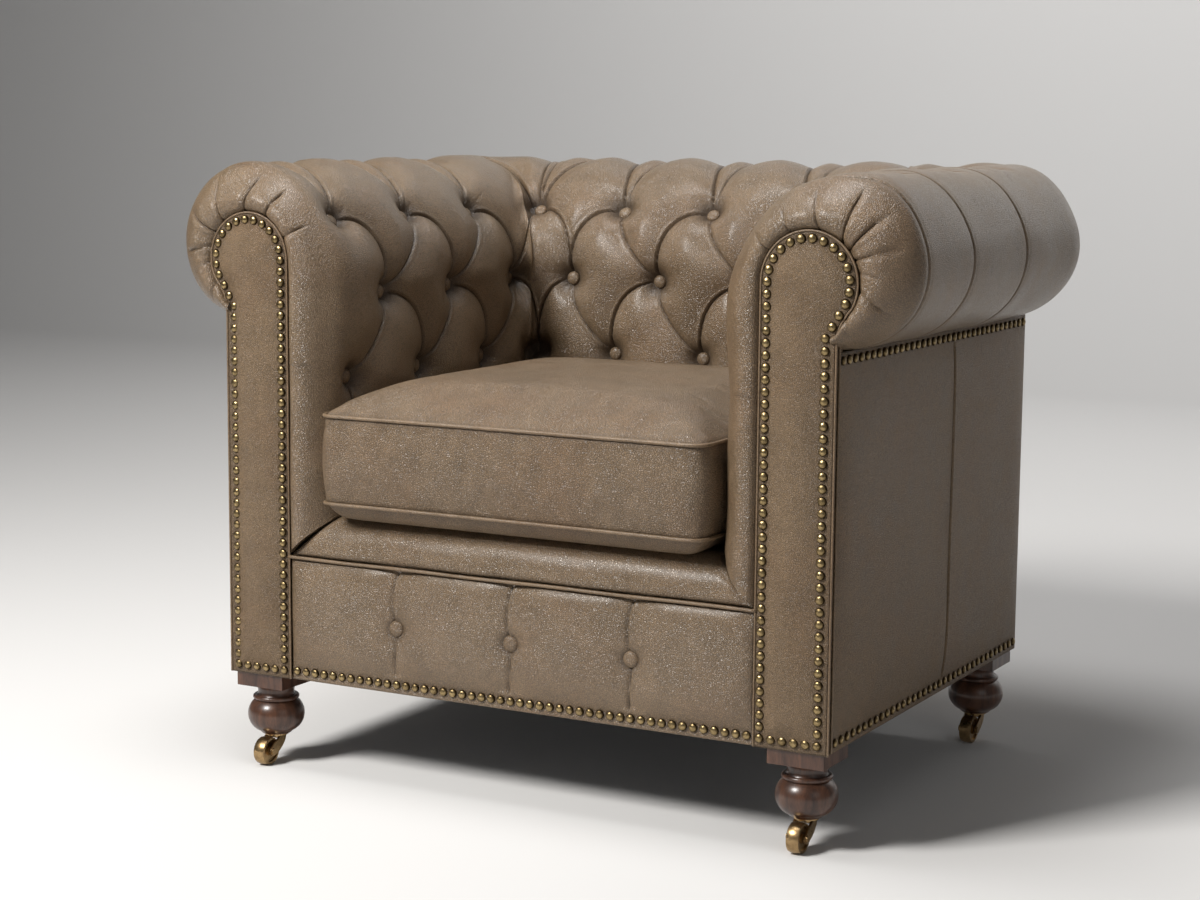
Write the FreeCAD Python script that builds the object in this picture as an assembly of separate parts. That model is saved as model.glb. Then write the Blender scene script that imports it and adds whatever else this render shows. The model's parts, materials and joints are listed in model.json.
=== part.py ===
import FreeCAD, Part
import math
import os
from FreeCAD import Vector

# A tufted leather club chair on four castored feet, in millimetres.
# +X is the sitter's left, seen from the front on the right; +Y runs to the back; +Z is up.
# An arm or the back is first built as a run in its own coordinates (u, v, w):
# u is the distance inward from the outer face, v runs along the face, w is the height.

# Driving dimensions of the box
body_width = 860.0
body_depth = 670.0
base_height = 127.0
roll_top = 796.0
roll_radius = 98.0
roll_inset = 4.0
pad_reach = 151.0
pad_thickness = 63.0
corner_inset = 96.0
front_rounding = 48.0
pad_front = 4.0

# Driving dimensions of the facings, the border and the seat deck
facing_width = 92.5
facing_thickness = 12.0
head_radius = 58.5
head_drop = 118.0
head_return_drop = 62.0
head_turn = 205.0
neck_waist = 0.28
neck_bow = 1.5
panel_thickness = 4.0
lip_height = 58.0
border_thickness = 18.0
border_piping_radius = 2.3
welt_radius = 1.4
deck_height = 346.0
deck_thickness = 49.5
lip_reach = 60.0
lip_back = 100.0
hessian_thickness = 2.8

# Driving dimensions of the hardwood frame
board_thickness = 22.0
rail_thickness = 26.0
post_size = 56.0
roll_rail_height = 62.0
tack_rail_height = 34.0
block_height = 64.0
block_width = 57.4
dust_cover_thickness = 1.0
dust_cover_inset = 12.0

# Driving dimensions of the seat springs
spring_count = 5
spring_pitch = 118.0
spring_wire_radius = 1.9
spring_swing = 22.0
spring_bends = 12
clip_width = 20.0
clip_depth = 9.0
clip_room = 2.0

# Driving dimensions of the tufting
arm_tuft_pitch = 168.0
arm_first_tuft = 84.0
arm_middle_shift = 72.0
arm_low_shift = -8.0
back_tuft_pitch = 142.0
top_row_drop = 58.0
row_pitch = 107.0
crease_depth = 9.5
crease_flank_radius = 150.0
crease_slope = 24.0
pleat_top_depth = 7.0
pleat_flank_radius = 75.0
pleat_slope = 34.0
pleat_end_angle = 125.0
pleat_end_rise = 2.0
flank_end_slope = 2.0
pit_depth = 15.0
pit_flare = 17.0
pit_rim = 4.0
button_radius = 11.0
button_rim = 2.0
button_height = 6.0
button_room = 1.5
border_tuft_pitch = 170.0
border_tuft_rise = 85.0
border_crease_depth = 4.5
border_flank_radius = 62.0
border_pit_depth = 8.0
border_pit_flare = 14.0
border_crease_room = 10.0

# Driving dimensions of the seat cushion
cushion_front = -18.4
cushion_side_room = 0.5
cushion_back_room = 1.0
cushion_belly = 24.0
cushion_band = 113.0
cushion_crown = 42.0
band_bulge = 3.0
cushion_corner_radius = 22.0
side_draw_angle = 1.8
cushion_piping_radius = 2.4
cushion_leather = 2.2

# Driving dimensions of the nails
nail_radius = 5.9
nail_height = 3.1
nail_pitch = 14.3
side_nail_pitch = 18.2
nail_inset = 11.5
edge_nail_inset = 7.0
nail_room = 2.0
base_nail_rise = 11.5
roll_nail_drop = 10.7

# Driving dimensions of the feet and casters
foot_inset = 41.0
foot_block = 73.0
foot_block_height = 19.0
bun_radius = 38.0
bun_height = 66.0
foot_bottom = 40.5
foot_neck_radius = 26.0
foot_bottom_radius = 20.0
foot_bottom_flare = 3.0
bolt_radius = 4.0
bolt_reach = 58.0
bolt_depth_in_foot = 45.0
plate_radius = 16.0
plate_thickness = 2.5
socket_radius = 8.0
socket_length = 22.0
socket_floor = 2.0
stem_end_room = 1.0
stem_radius = 3.5
crown_radius = 12.6
crown_thickness = 3.4
wheel_radius = 19.0
wheel_width = 17.0
wheel_hub_radius = 6.5
wheel_recess = 3.0
tread_thickness = 4.5
tread_shoulder = 0.6
tread_crown = 1.2
caster_trail = 23.5
fork_plate = 3.0
fork_gap = 0.8
fork_boss_radius = 6.0
fork_wheel_room = 1.2
fork_bow = 2.0
axle_radius = 3.0
axle_head_radius = 4.6
axle_head = 1.6

# Clearances
gap = 0.3
running_fit = 0.05

# How far cutting solids reach past what they cut, and how closely places are compared
overcut = 5.0
headroom = 45.0
near = 0.01

# Derived sizes
half_width = body_width / 2
roll_height = roll_top - roll_radius
pad_arc_radius = pad_reach - roll_inset
pad_arc_height = roll_top - pad_arc_radius
core_reach = pad_reach - pad_thickness
core_roll_radius = roll_radius - (roll_top - (pad_arc_height + core_reach - roll_inset))
wood_face = panel_thickness + gap
post_inner = panel_thickness + post_size
panel_top = roll_height - roll_radius - gap
head_inset = facing_width - head_radius
head_height = roll_top - head_drop
head_return_height = head_height - head_return_drop
border_top = deck_height - lip_height
border_height = border_top - base_height
lip_bottom = border_top + 2 * border_piping_radius + 2 * gap
deck_bottom = deck_height - deck_thickness
hessian_top = deck_bottom - gap
clip_wall = 0.9
clip_top = hessian_top - hessian_thickness - gap
spring_height = clip_top - clip_wall - spring_wire_radius
rail_top = spring_height - spring_wire_radius - clip_wall
tack_rail_bottom = lip_bottom
top_row = roll_top - top_row_drop
middle_row = top_row - row_pitch
low_row = middle_row - row_pitch
border_tuft_height = base_height + border_tuft_rise
piping_reach = 2 * cushion_piping_radius + gap
cushion_half_width = half_width - pad_reach - cushion_side_room - piping_reach
cushion_back = body_depth - pad_reach - cushion_back_room - piping_reach
cushion_bottom = deck_height + gap
lower_seam = cushion_bottom + cushion_belly
upper_seam = lower_seam + cushion_band
crown_top = upper_seam + cushion_crown
roll_nail_height = panel_top - roll_nail_drop
wheel_height = wheel_radius

os.makedirs("parts", exist_ok=True)
pieces = {}


def line(start, end):
    return Part.LineSegment(start, end).toShape()


def arc(start, through, end):
    return Part.Arc(start, through, end).toShape()


def on_circle(centre_u, centre_w, radius, degrees):
    angle = math.radians(degrees)
    return (centre_u + radius * math.cos(angle), centre_w + radius * math.sin(angle))


def outline(start, *steps):
    """A closed wire in the plane v = 0. A step is a point, or an arc's (through, end) pair."""
    def point(pair):
        return Vector(pair[0], 0, pair[1])
    edges = []
    here = start
    for step in steps + (start,):
        if isinstance(step[0], tuple):
            through, end = step
            edges.append(arc(point(here), point(through), point(end)))
        else:
            end = step
            if math.dist(here, end) > 0.001:
                edges.append(line(point(here), point(end)))
        here = end
    return Part.Wire(edges)


def prism(wire, v_start, v_end):
    face = Part.Face(wire)
    face.translate(Vector(0, v_start, 0))
    return face.extrude(Vector(0, v_end - v_start, 0))


def block(low, high):
    size = [high[i] - low[i] for i in range(3)]
    return Part.makeBox(size[0], size[1], size[2], Vector(*low))


def rod(radius, start, end):
    return Part.makeCylinder(radius, (end - start).Length, start, end - start)


def dome(radius, rim_height, height):
    """A flat-backed round head: a short rim under a spherical cap, standing on z = 0."""
    rise = height - rim_height
    sphere = (radius ** 2 + rise ** 2) / (2 * rise)
    half_turn = math.asin(radius / sphere) / 2
    through = Vector(sphere * math.sin(half_turn), 0,
                     height - sphere * (1 - math.cos(half_turn)))
    rim = Vector(radius, 0, rim_height)
    top = Vector(0, 0, height)
    edges = [line(Vector(0, 0, 0), Vector(radius, 0, 0)), arc(rim, through, top),
             line(top, Vector(0, 0, 0))]
    if rim_height > 0:
        edges.insert(1, line(Vector(radius, 0, 0), rim))
    return Part.Face(Part.Wire(edges)).revolve(Vector(0, 0, 0), Vector(0, 0, 1), 360)


def set_on(shape, place, normal):
    """The shape moved from z = 0 to a place, with its own +Z along the normal."""
    shape.Placement = FreeCAD.Placement(place, FreeCAD.Rotation(Vector(0, 0, 1), normal))
    return shape


def wedge(corners, low, high):
    """A prism over plan corners (u, v) between two heights."""
    points = [Vector(u, v, low) for u, v in corners]
    face = Part.Face(Part.makePolygon(points + points[:1]))
    return face.extrude(Vector(0, 0, high - low))


def one_solid(shape):
    """The joined shape as a single solid."""
    joined = shape.removeSplitter()
    if len(joined.Solids) == 1:
        return joined.Solids[0]
    return joined


def to_left(shape):
    moved = shape.copy()
    moved.translate(Vector(-half_width, 0, 0))
    return moved


def to_right(shape):
    return to_left(shape).mirror(Vector(0, 0, 0), Vector(1, 0, 0))


def to_back(shape):
    moved = shape.copy()
    moved.rotate(Vector(0, 0, 0), Vector(0, 0, 1), -90)
    moved.translate(Vector(0, body_depth, 0))
    return moved


def add_pair(name, shape):
    pieces["left_" + name] = to_left(shape)
    pieces["right_" + name] = to_right(shape)


# Runs round the chair: a profile carried along an arm or the back and swung round the corner

plan_margin = 2 * roll_radius


def corner_swing(wire, v_end):
    """The part of the profile outside the corner axis, swung 45 degrees round that axis."""
    shell_side = block((-plan_margin, v_end - overcut, 0),
                       (corner_inset, v_end, roll_top + plan_margin))
    slice_solid = prism(wire, v_end - overcut, v_end).common(shell_side)
    swings = []
    for face in slice_solid.Faces:
        flat = isinstance(face.Surface, Part.Plane) and abs(face.Surface.Axis.y) > 0.999
        if flat and abs(face.CenterOfMass.y - v_end) < near:
            swings.append(face.revolve(Vector(corner_inset, v_end, 0), Vector(0, 0, 1), -45))
    return swings


def arm_run(wire, v_start):
    v_end = body_depth - corner_inset
    keep = wedge([(-plan_margin, -plan_margin), (body_depth + plan_margin, -plan_margin),
                  (-plan_margin, body_depth + plan_margin)], 0, roll_top + plan_margin)
    straight = prism(wire, v_start, v_end).common(keep)
    return one_solid(straight.fuse(corner_swing(wire, v_end)))


def back_run(wire):
    v_end = half_width - corner_inset
    keep = wedge([(-plan_margin, -half_width - plan_margin), (half_width, 0),
                  (-plan_margin, half_width + plan_margin)], 0, roll_top + plan_margin)
    straight = prism(wire, -v_end, v_end).common(keep)
    ends = corner_swing(wire, v_end)
    ends += [end.mirror(Vector(0, 0, 0), Vector(0, 1, 0)) for end in ends]
    return one_solid(straight.fuse(ends))


def pad_wire():
    """The tufted pad: inner face, over the roll and round to the tack line under it."""
    roll = (roll_inset, roll_height)
    return outline(
        (pad_reach, lip_bottom),
        (pad_reach, pad_arc_height),
        (on_circle(roll_inset, pad_arc_height, pad_arc_radius, 45), (roll_inset, roll_top)),
        (on_circle(*roll, roll_radius, 135), (roll_inset - roll_radius, roll_height)),
        (on_circle(*roll, roll_radius, 225), (roll_inset, roll_height - roll_radius)),
        (roll_inset, roll_height - core_roll_radius),
        (on_circle(*roll, core_roll_radius, 225), (roll_inset - core_roll_radius, roll_height)),
        (on_circle(*roll, core_roll_radius, 135), (roll_inset, roll_height + core_roll_radius)),
        (on_circle(roll_inset, pad_arc_height, core_reach - roll_inset, 45),
         (core_reach, pad_arc_height)),
        (core_reach, lip_bottom))


def core_outline(inner_drop, outer_u, outer_drop, inner_u):
    """The room inside the pad, down to one height on the inner side and one on the outer."""
    reach = core_reach - gap
    radius = core_roll_radius - gap
    roll = (roll_inset, roll_height)
    start = (reach, inner_drop)
    steps = [
        (reach, pad_arc_height),
        (on_circle(roll_inset, pad_arc_height, reach - roll_inset, 45),
         (roll_inset, pad_arc_height + reach - roll_inset)),
        (on_circle(*roll, radius, 135), (roll_inset - radius, roll_height)),
        (on_circle(*roll, radius, 225), (roll_inset, roll_height - radius))]
    if outer_u > roll_inset:
        steps.append((outer_u, roll_height - radius))
    steps.append((outer_u, outer_drop))
    if inner_u > outer_u:
        steps += [(inner_u, outer_drop), (inner_u, inner_drop)]
    return outline(start, *steps)


def face_point(height):
    """A point of the inner pad face at a height, and the face's outward normal there."""
    rise = max(0.0, height - pad_arc_height)
    lean = math.asin(rise / pad_arc_radius)
    reach = roll_inset + pad_arc_radius * math.cos(lean)
    return Vector(reach, 0, height), Vector(math.cos(lean), 0, math.sin(lean))


def flank(radius, slope, steep):
    """How far a crease's flank has gone sideways and up when its slope has eased to steep."""
    first = math.radians(slope)
    now = math.radians(steep)
    return (radius * (math.sin(first) - math.sin(now)), radius * (math.cos(now) - math.cos(first)))


def crease_section(bottom, side, up, radius, slope):
    """The face cut away over a crease: two convex flanks that meet at its bottom."""
    def point(across, rise):
        return bottom + side * across + up * rise
    rim = flank(radius, slope, flank_end_slope)
    middle = flank(radius, slope, slope / 2)
    left = point(-rim[0], rim[1])
    right = point(rim[0], rim[1])
    left_top = point(-rim[0], headroom)
    right_top = point(rim[0], headroom)
    edges = [arc(left, point(-middle[0], middle[1]), bottom),
             arc(bottom, point(middle[0], middle[1]), right),
             line(right, right_top), line(right_top, left_top), line(left_top, left)]
    return Part.Face(Part.Wire(edges))


def straight_crease(start, end, normal):
    run = end - start
    side = run.cross(normal)
    side.normalize()
    up = side.cross(run)
    up.normalize()
    section = crease_section(start, side, up, crease_flank_radius, crease_slope)
    return section.extrude(run)


def crease_cutters(v_start, height_start, v_end, height_end):
    """A crease between two buttons, in two straight lengths where the face bends."""
    stops = [0.0, 0.5, 1.0] if max(height_start, height_end) > pad_arc_height + 1 else [0.0, 1.0]
    ends = []
    for share in stops:
        face, normal = face_point(height_start + (height_end - height_start) * share)
        point = face - normal * crease_depth
        point.y = v_start + (v_end - v_start) * share
        ends.append((point, normal))
    cutters = []
    for (point, normal), (next_point, next_normal) in zip(ends, ends[1:]):
        cutters.append(straight_crease(point, next_point, normal + next_normal))
    return cutters


def pleat_cutter(v_place):
    """The pleat from a top-row button over the roll, getting shallower on the outer side."""
    face, normal = face_point(top_row)
    start = face - normal * crease_depth
    top = Vector(roll_inset, 0, roll_top - pleat_top_depth)
    out = on_circle(roll_inset, roll_height, roll_radius + pleat_end_rise, pleat_end_angle)
    centre = arc(start, top, Vector(out[0], 0, out[1])).Curve.Center
    radial = start - centre
    radial.normalize()
    begin = start + Vector(0, v_place, 0)
    section = crease_section(begin, Vector(0, 1, 0), radial, pleat_flank_radius, pleat_slope)
    last = Vector(out[0], 0, out[1]) - centre
    swing = math.degrees(start.sub(centre).getAngle(last))
    return section.revolve(centre + Vector(0, v_place, 0), Vector(0, -1, 0), swing)


def pit_cutter(place, normal, depth, flare, flat_radius):
    """The dimple round a button: a flat seat with flared sides, on the axis normal."""
    def point(radius, height):
        return Vector(radius, 0, height)
    bottom = -depth
    rise = depth + pit_rim
    steep_share = 0.36
    high_share = 0.62
    profile = Part.Wire([
        line(point(0, bottom), point(flat_radius, bottom)),
        arc(point(flat_radius, bottom),
            point(flat_radius + flare * steep_share, bottom + rise * high_share),
            point(flat_radius + flare, pit_rim)),
        line(point(flat_radius + flare, pit_rim), point(0, pit_rim)),
        line(point(0, pit_rim), point(0, bottom))])
    cutter = Part.Face(profile).revolve(Vector(0, 0, 0), Vector(0, 0, 1), 360)
    return set_on(cutter, place, normal)


def button(place, normal, depth):
    """A domed covered button on the floor of its dimple."""
    return set_on(dome(button_radius, button_rim, button_height),
                  place - normal * (depth - gap), normal)


def tuft(pad, buttons, creases, pleats):
    """The pad with its creases, pleats and button dimples, and the buttons themselves."""
    for crease in creases:
        for cutter in crease_cutters(*crease):
            pad = pad.cut(cutter)
    for v_place in pleats:
        pad = pad.cut(pleat_cutter(v_place))
    domes = []
    for v_place, height in buttons:
        face, normal = face_point(height)
        face.y = v_place
        pad = pad.cut(pit_cutter(face, normal, pit_depth, pit_flare,
                                 button_radius + button_room))
        domes.append(button(face, normal, pit_depth))
    return one_solid(pad), domes


def lip_cut():
    """The room under the mitre between an arm pad and the seat lip."""
    far = pad_reach + overcut
    wire = outline((facing_width - overcut, lip_bottom - overcut), (facing_width, lip_bottom - gap),
                   (facing_width, lip_bottom), (pad_reach + gap, deck_height + 2 * gap),
                   (far, deck_height + 2 * gap), (far, lip_bottom - overcut))
    return prism(wire, -overcut, lip_back + gap)


def facing_wire(grow=0.0):
    """The keyhole outline of an arm facing."""
    radius = head_radius + grow
    leave = on_circle(head_inset, head_height, radius, head_turn)
    waist = leave[0] * neck_waist - grow * (1 - neck_waist)
    return outline(
        (facing_width + grow, base_height),
        (facing_width + grow, head_height),
        (on_circle(head_inset, head_height, radius, 45), (head_inset, head_height + radius)),
        (on_circle(head_inset, head_height, radius, 145), leave),
        ((waist, (leave[1] + head_return_height) / 2 - neck_bow), (-grow, head_return_height)),
        (-grow, base_height))


# Arm and back pads

arm_tops = [arm_first_tuft + k * arm_tuft_pitch for k in range(3)]
arm_middles = [v + arm_middle_shift for v in arm_tops]
arm_lows = [v + arm_low_shift for v in arm_tops]
back_tops = [k * back_tuft_pitch for k in (-2, -1, 0, 1, 2)]
back_middles = [(k + 0.5) * back_tuft_pitch for k in (-2, -1, 0, 1)]
back_lows = [k * back_tuft_pitch for k in (-1, 0, 1)]
neighbour_share = 0.75


def diamond_creases(tops, middles, lows, pitch):
    """Creases from each middle button to its neighbours, and from the low buttons down."""
    creases = []
    for middle in middles:
        for row, height in ((tops, top_row), (lows, low_row)):
            creases += [(middle, middle_row, place, height) for place in row
                        if abs(place - middle) < neighbour_share * pitch]
    for low in lows:
        creases.append((low, low_row, low, deck_height))
    return creases


arm_pad = arm_run(pad_wire(), pad_front)
front_edges = []
for edge in arm_pad.Edges:
    at_front = all(abs(vertex.Point.y - pad_front) < near for vertex in edge.Vertexes)
    box = edge.BoundBox
    outer = box.XMax > core_reach + overcut or box.XMin < roll_inset - core_roll_radius - overcut
    if at_front and outer and box.ZLength > near:
        front_edges.append(edge)
arm_pad = arm_pad.makeFillet(front_rounding, front_edges)
arm_pad = arm_pad.cut(lip_cut())
arm_pad = arm_pad.cut(prism(facing_wire(gap), -overcut, facing_thickness + gap))
arm_buttons = [(v, top_row) for v in arm_tops] + [(v, middle_row) for v in arm_middles]
arm_buttons += [(v, low_row) for v in arm_lows]
arm_pad, arm_domes = tuft(arm_pad, arm_buttons,
                          diamond_creases(arm_tops, arm_middles, arm_lows, arm_tuft_pitch),
                          arm_tops)
add_pair("arm_pad", arm_pad)

back_pad = back_run(pad_wire())
back_buttons = [(v, top_row) for v in back_tops] + [(v, middle_row) for v in back_middles]
back_buttons += [(v, low_row) for v in back_lows]
back_pad, back_domes = tuft(back_pad, back_buttons,
                            diamond_creases(back_tops, back_middles, back_lows, back_tuft_pitch),
                            back_tops[1:-1])
pieces["back_pad"] = to_back(back_pad)

left_domes = [to_left(dome) for dome in arm_domes]
right_domes = [to_right(dome) for dome in arm_domes]
pieces["tufting_buttons"] = Part.makeCompound(
    left_domes + right_domes + [to_back(dome) for dome in back_domes])

# Foam cores over the frame

foam_bottom = tack_rail_bottom + tack_rail_height + gap
rail_upper = roll_height - core_roll_radius
foam_wire = core_outline(foam_bottom, roll_inset, rail_upper + gap, post_inner + gap)
add_pair("arm_foam", arm_run(foam_wire, facing_thickness + board_thickness + 2 * gap))
pieces["back_foam"] = to_back(back_run(foam_wire))

# Hardwood frame

board_back = facing_thickness + gap + board_thickness
board = prism(core_outline(base_height, wood_face, base_height, 0), facing_thickness + gap,
              board_back)
border_back = pad_front + border_thickness
welt_offset = welt_radius + gap
border_end = facing_width + 2 * welt_offset
border_room = block((border_end - gap, 0, 0), (half_width, border_back + gap, lip_bottom))
add_pair("arm_board", board.cut(border_room))

post = block((wood_face, body_depth - post_inner, base_height),
             (post_inner, body_depth - wood_face, panel_top))
add_pair("rear_post", post)

roll_rail_wire = outline((wood_face, rail_upper - roll_rail_height), (post_inner,
                         rail_upper - roll_rail_height), (post_inner, rail_upper),
                         (wood_face, rail_upper))
add_pair("roll_rail", arm_run(roll_rail_wire, board_back + gap))
pieces["back_roll_rail"] = to_back(back_run(roll_rail_wire))

rail_inner = wood_face + rail_thickness
side_rail = block((wood_face, board_back + gap, base_height),
                  (rail_inner, body_depth - post_inner - gap, rail_top))
add_pair("side_rail", side_rail)
post_edge = half_width - post_inner - gap
pieces["back_rail"] = to_back(block((wood_face, -post_edge, base_height),
                                    (rail_inner, post_edge, rail_top)))

rail_front = border_back + gap
rail_half = half_width - core_reach
pieces["front_rail"] = block((-rail_half, rail_front, base_height),
                             (rail_half, rail_front + rail_thickness, rail_top))

tack_outer = rail_inner + gap
side_tack = block((tack_outer, board_back + gap, tack_rail_bottom),
                  (core_reach - gap, body_depth - core_reach - gap,
                   tack_rail_bottom + tack_rail_height))
back_tack = block((tack_outer, -post_edge, tack_rail_bottom),
                  (core_reach - gap, post_edge, tack_rail_bottom + tack_rail_height))
pieces["tack_rails"] = Part.makeCompound([to_left(side_tack), to_right(side_tack),
                                          to_back(back_tack)])

block_front = max(board_back, rail_front + rail_thickness) + gap


def corner_block():
    front_corner = block((tack_outer, board_back + gap, base_height),
                         (tack_outer + block_width, board_back + gap + block_height,
                          base_height + block_height))
    rail_room = block((core_reach - gap, 0, 0), (core_reach + block_width, block_front, roll_top))
    return front_corner.cut(rail_room)


bolt_top = base_height + bolt_reach
foot_bore_bottom = base_height - bolt_depth_in_foot
front_bolt = rod(bolt_radius, Vector(foot_inset, foot_inset, foot_bore_bottom + gap),
                 Vector(foot_inset, foot_inset, bolt_top - gap))
front_bore = rod(bolt_radius + running_fit, Vector(foot_inset, foot_inset, foot_bore_bottom),
                 Vector(foot_inset, foot_inset, bolt_top))
rear_shift = Vector(0, body_depth - 2 * foot_inset, 0)
rear_bolt = front_bolt.translated(rear_shift)
rear_bore = front_bore.translated(rear_shift)
brace = corner_block().cut(front_bore)
pieces["corner_blocks"] = Part.makeCompound([to_left(brace), to_right(brace)])
for side, place in (("left_", to_left), ("right_", to_right)):
    pieces[side + "arm_board"] = pieces[side + "arm_board"].cut(place(front_bore))
    pieces[side + "rear_post"] = pieces[side + "rear_post"].cut(place(rear_bore))
pieces["foot_bolts"] = Part.makeCompound([to_left(front_bolt), to_right(front_bolt),
                                          to_left(rear_bolt), to_right(rear_bolt)])

# Outer panels and facings

side_panel = block((0, facing_thickness + gap, base_height),
                   (panel_thickness, body_depth, panel_top))
add_pair("side_panel", side_panel)
panel_edge = half_width - panel_thickness - gap
pieces["back_panel"] = to_back(block((0, -panel_edge, base_height),
                                     (panel_thickness, panel_edge, panel_top)))

add_pair("arm_facing", prism(facing_wire(), 0, facing_thickness))


def tube(edges, radius):
    """A round tube along joined edges."""
    path = Part.Wire(Part.__sortEdges__(edges))
    first = path.OrderedEdges[0]
    start = first.valueAt(first.FirstParameter)
    heading = first.tangentAt(first.FirstParameter)
    if (path.OrderedVertexes[0].Point - start).Length > near:
        start = first.valueAt(first.LastParameter)
    ring = Part.Wire(Part.makeCircle(radius, start, heading))
    return path.makePipeShell([ring], True, False)


welt_path = facing_wire(welt_offset)
welt_edges = [edge for edge in welt_path.Edges if edge.BoundBox.ZMax > base_height + near]
for edge in welt_edges:
    edge.translate(Vector(0, pad_front - welt_offset, 0))
welt = tube(welt_edges, welt_radius)
pieces["facing_welts"] = Part.makeCompound([to_left(welt), to_right(welt)])

# Front border with its piping, channels and buttons

border_half = half_width - border_end
border = block((-border_half, pad_front, base_height), (border_half, border_back, border_top))
outward = Vector(0, -1, 0)
border_domes = []
for column in (-1, 0, 1):
    column_x = column * border_tuft_pitch
    foot_of_crease = Vector(column_x, pad_front + border_crease_depth,
                            base_height + base_nail_rise + nail_radius + border_crease_room)
    section = crease_section(foot_of_crease, Vector(1, 0, 0), outward,
                             border_flank_radius, crease_slope)
    border = border.cut(section.extrude(Vector(0, 0, border_height)))
    place = Vector(column_x, pad_front, border_tuft_height)
    border = border.cut(pit_cutter(place, outward, border_pit_depth, border_pit_flare,
                                   button_radius + button_room))
    border_domes.append(button(place, outward, border_pit_depth))
pieces["front_border"] = one_solid(border)
pieces["border_buttons"] = Part.makeCompound(border_domes)

piping_height = border_top + gap + border_piping_radius
piping_place = pad_front + border_piping_radius / 2
pieces["border_piping"] = rod(border_piping_radius,
                              Vector(-border_half, piping_place, piping_height),
                              Vector(border_half, piping_place, piping_height))

# Seat lip, deck, springs and dust cover

lip_side = half_width - facing_width - gap
spring_front = rail_front + rail_thickness / 2 + clip_depth / 2
lip_step = spring_front - clip_depth / 2 - clip_room
lip_run = lip_reach - pad_front
lip_rise = deck_height - lip_bottom
lip_radius = (lip_run ** 2 + lip_rise ** 2) / (2 * lip_rise)
lip_turn = math.degrees(math.asin(lip_run / lip_radius))
lip_wire = outline((pad_front, lip_bottom),
                   (on_circle(lip_reach, deck_height - lip_radius, lip_radius, 90 + lip_turn / 2),
                    (lip_reach, deck_height)),
                   (lip_back, deck_height), (lip_back, deck_bottom), (lip_step, deck_bottom),
                   (lip_step, rail_top + gap), (rail_front, rail_top + gap),
                   (rail_front, lip_bottom))
lip_face = Part.Face(lip_wire)
lip_face.rotate(Vector(0, 0, 0), Vector(0, 0, 1), 90)
lip = lip_face.extrude(Vector(2 * lip_side, 0, 0))
lip.translate(Vector(-lip_side, 0, 0))
for side in (-1, 1):
    inner = half_width - pad_reach - gap
    cheek_plan = [(lip_side, lip_bottom), (inner, deck_height), (inner, deck_height + overcut),
                  (half_width, deck_height + overcut), (half_width, lip_bottom)]
    corners = [Vector(side * x, -overcut, z) for x, z in cheek_plan]
    cheek = Part.Face(Part.makePolygon(corners + corners[:1]))
    lip = lip.cut(cheek.extrude(Vector(0, lip_back + 2 * overcut, 0)))
deck_side = half_width - pad_reach - gap
behind = block((deck_side, board_back, 0), (half_width, lip_back + overcut, roll_top))
lip = lip.cut(behind)
lip = lip.cut(behind.mirror(Vector(0, 0, 0), Vector(1, 0, 0)))
pieces["seat_lip"] = one_solid(lip)

deck_end = body_depth - pad_reach - gap
pieces["deck_pad"] = block((-deck_side, lip_back + gap, deck_bottom),
                           (deck_side, deck_end, deck_height))
pieces["spring_hessian"] = block(
    (-deck_side, lip_step + gap, hessian_top - hessian_thickness),
    (deck_side, deck_end, hessian_top))

spring_back = body_depth - wood_face - rail_thickness / 2


def seat_spring(x):
    """One zigzag spring: cross wires joined by half-round bends, from front rail to back rail."""
    step = (spring_back - spring_front) / spring_bends
    bend = step / 2
    reach = spring_swing
    edges = []
    for k in range(spring_bends + 1):
        y = spring_front + k * step
        side = 1 if k % 2 else -1
        start = Vector(x - side * reach, y, spring_height)
        end = Vector(x + side * reach, y, spring_height)
        edges.append(line(start, end))
        if k < spring_bends:
            turn = Vector(x + side * (reach + bend), y + bend, spring_height)
            edges.append(arc(end, turn, Vector(end.x, y + step, spring_height)))
    return tube(edges, spring_wire_radius)


def spring_clip(x, y):
    """A clip folded over the end wire of a spring and nailed to the rail."""
    half = clip_width / 2
    body = block((x - half, y - clip_depth / 2, rail_top),
                 (x + half, y + clip_depth / 2, clip_top))
    return body.cut(rod(spring_wire_radius + gap / 2, Vector(x - clip_width, y, spring_height),
                        Vector(x + clip_width, y, spring_height)))


spring_places = [(k - (spring_count - 1) / 2) * spring_pitch for k in range(spring_count)]
pieces["seat_springs"] = Part.makeCompound([seat_spring(x) for x in spring_places])
pieces["spring_clips"] = Part.makeCompound(
    [spring_clip(x, y) for x in spring_places for y in (spring_front, spring_back)])

dust_top = base_height
dust_cover = block((-half_width + dust_cover_inset, dust_cover_inset,
                    dust_top - dust_cover_thickness),
                   (half_width - dust_cover_inset, body_depth - dust_cover_inset, dust_top))

# Feet and their casters


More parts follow.
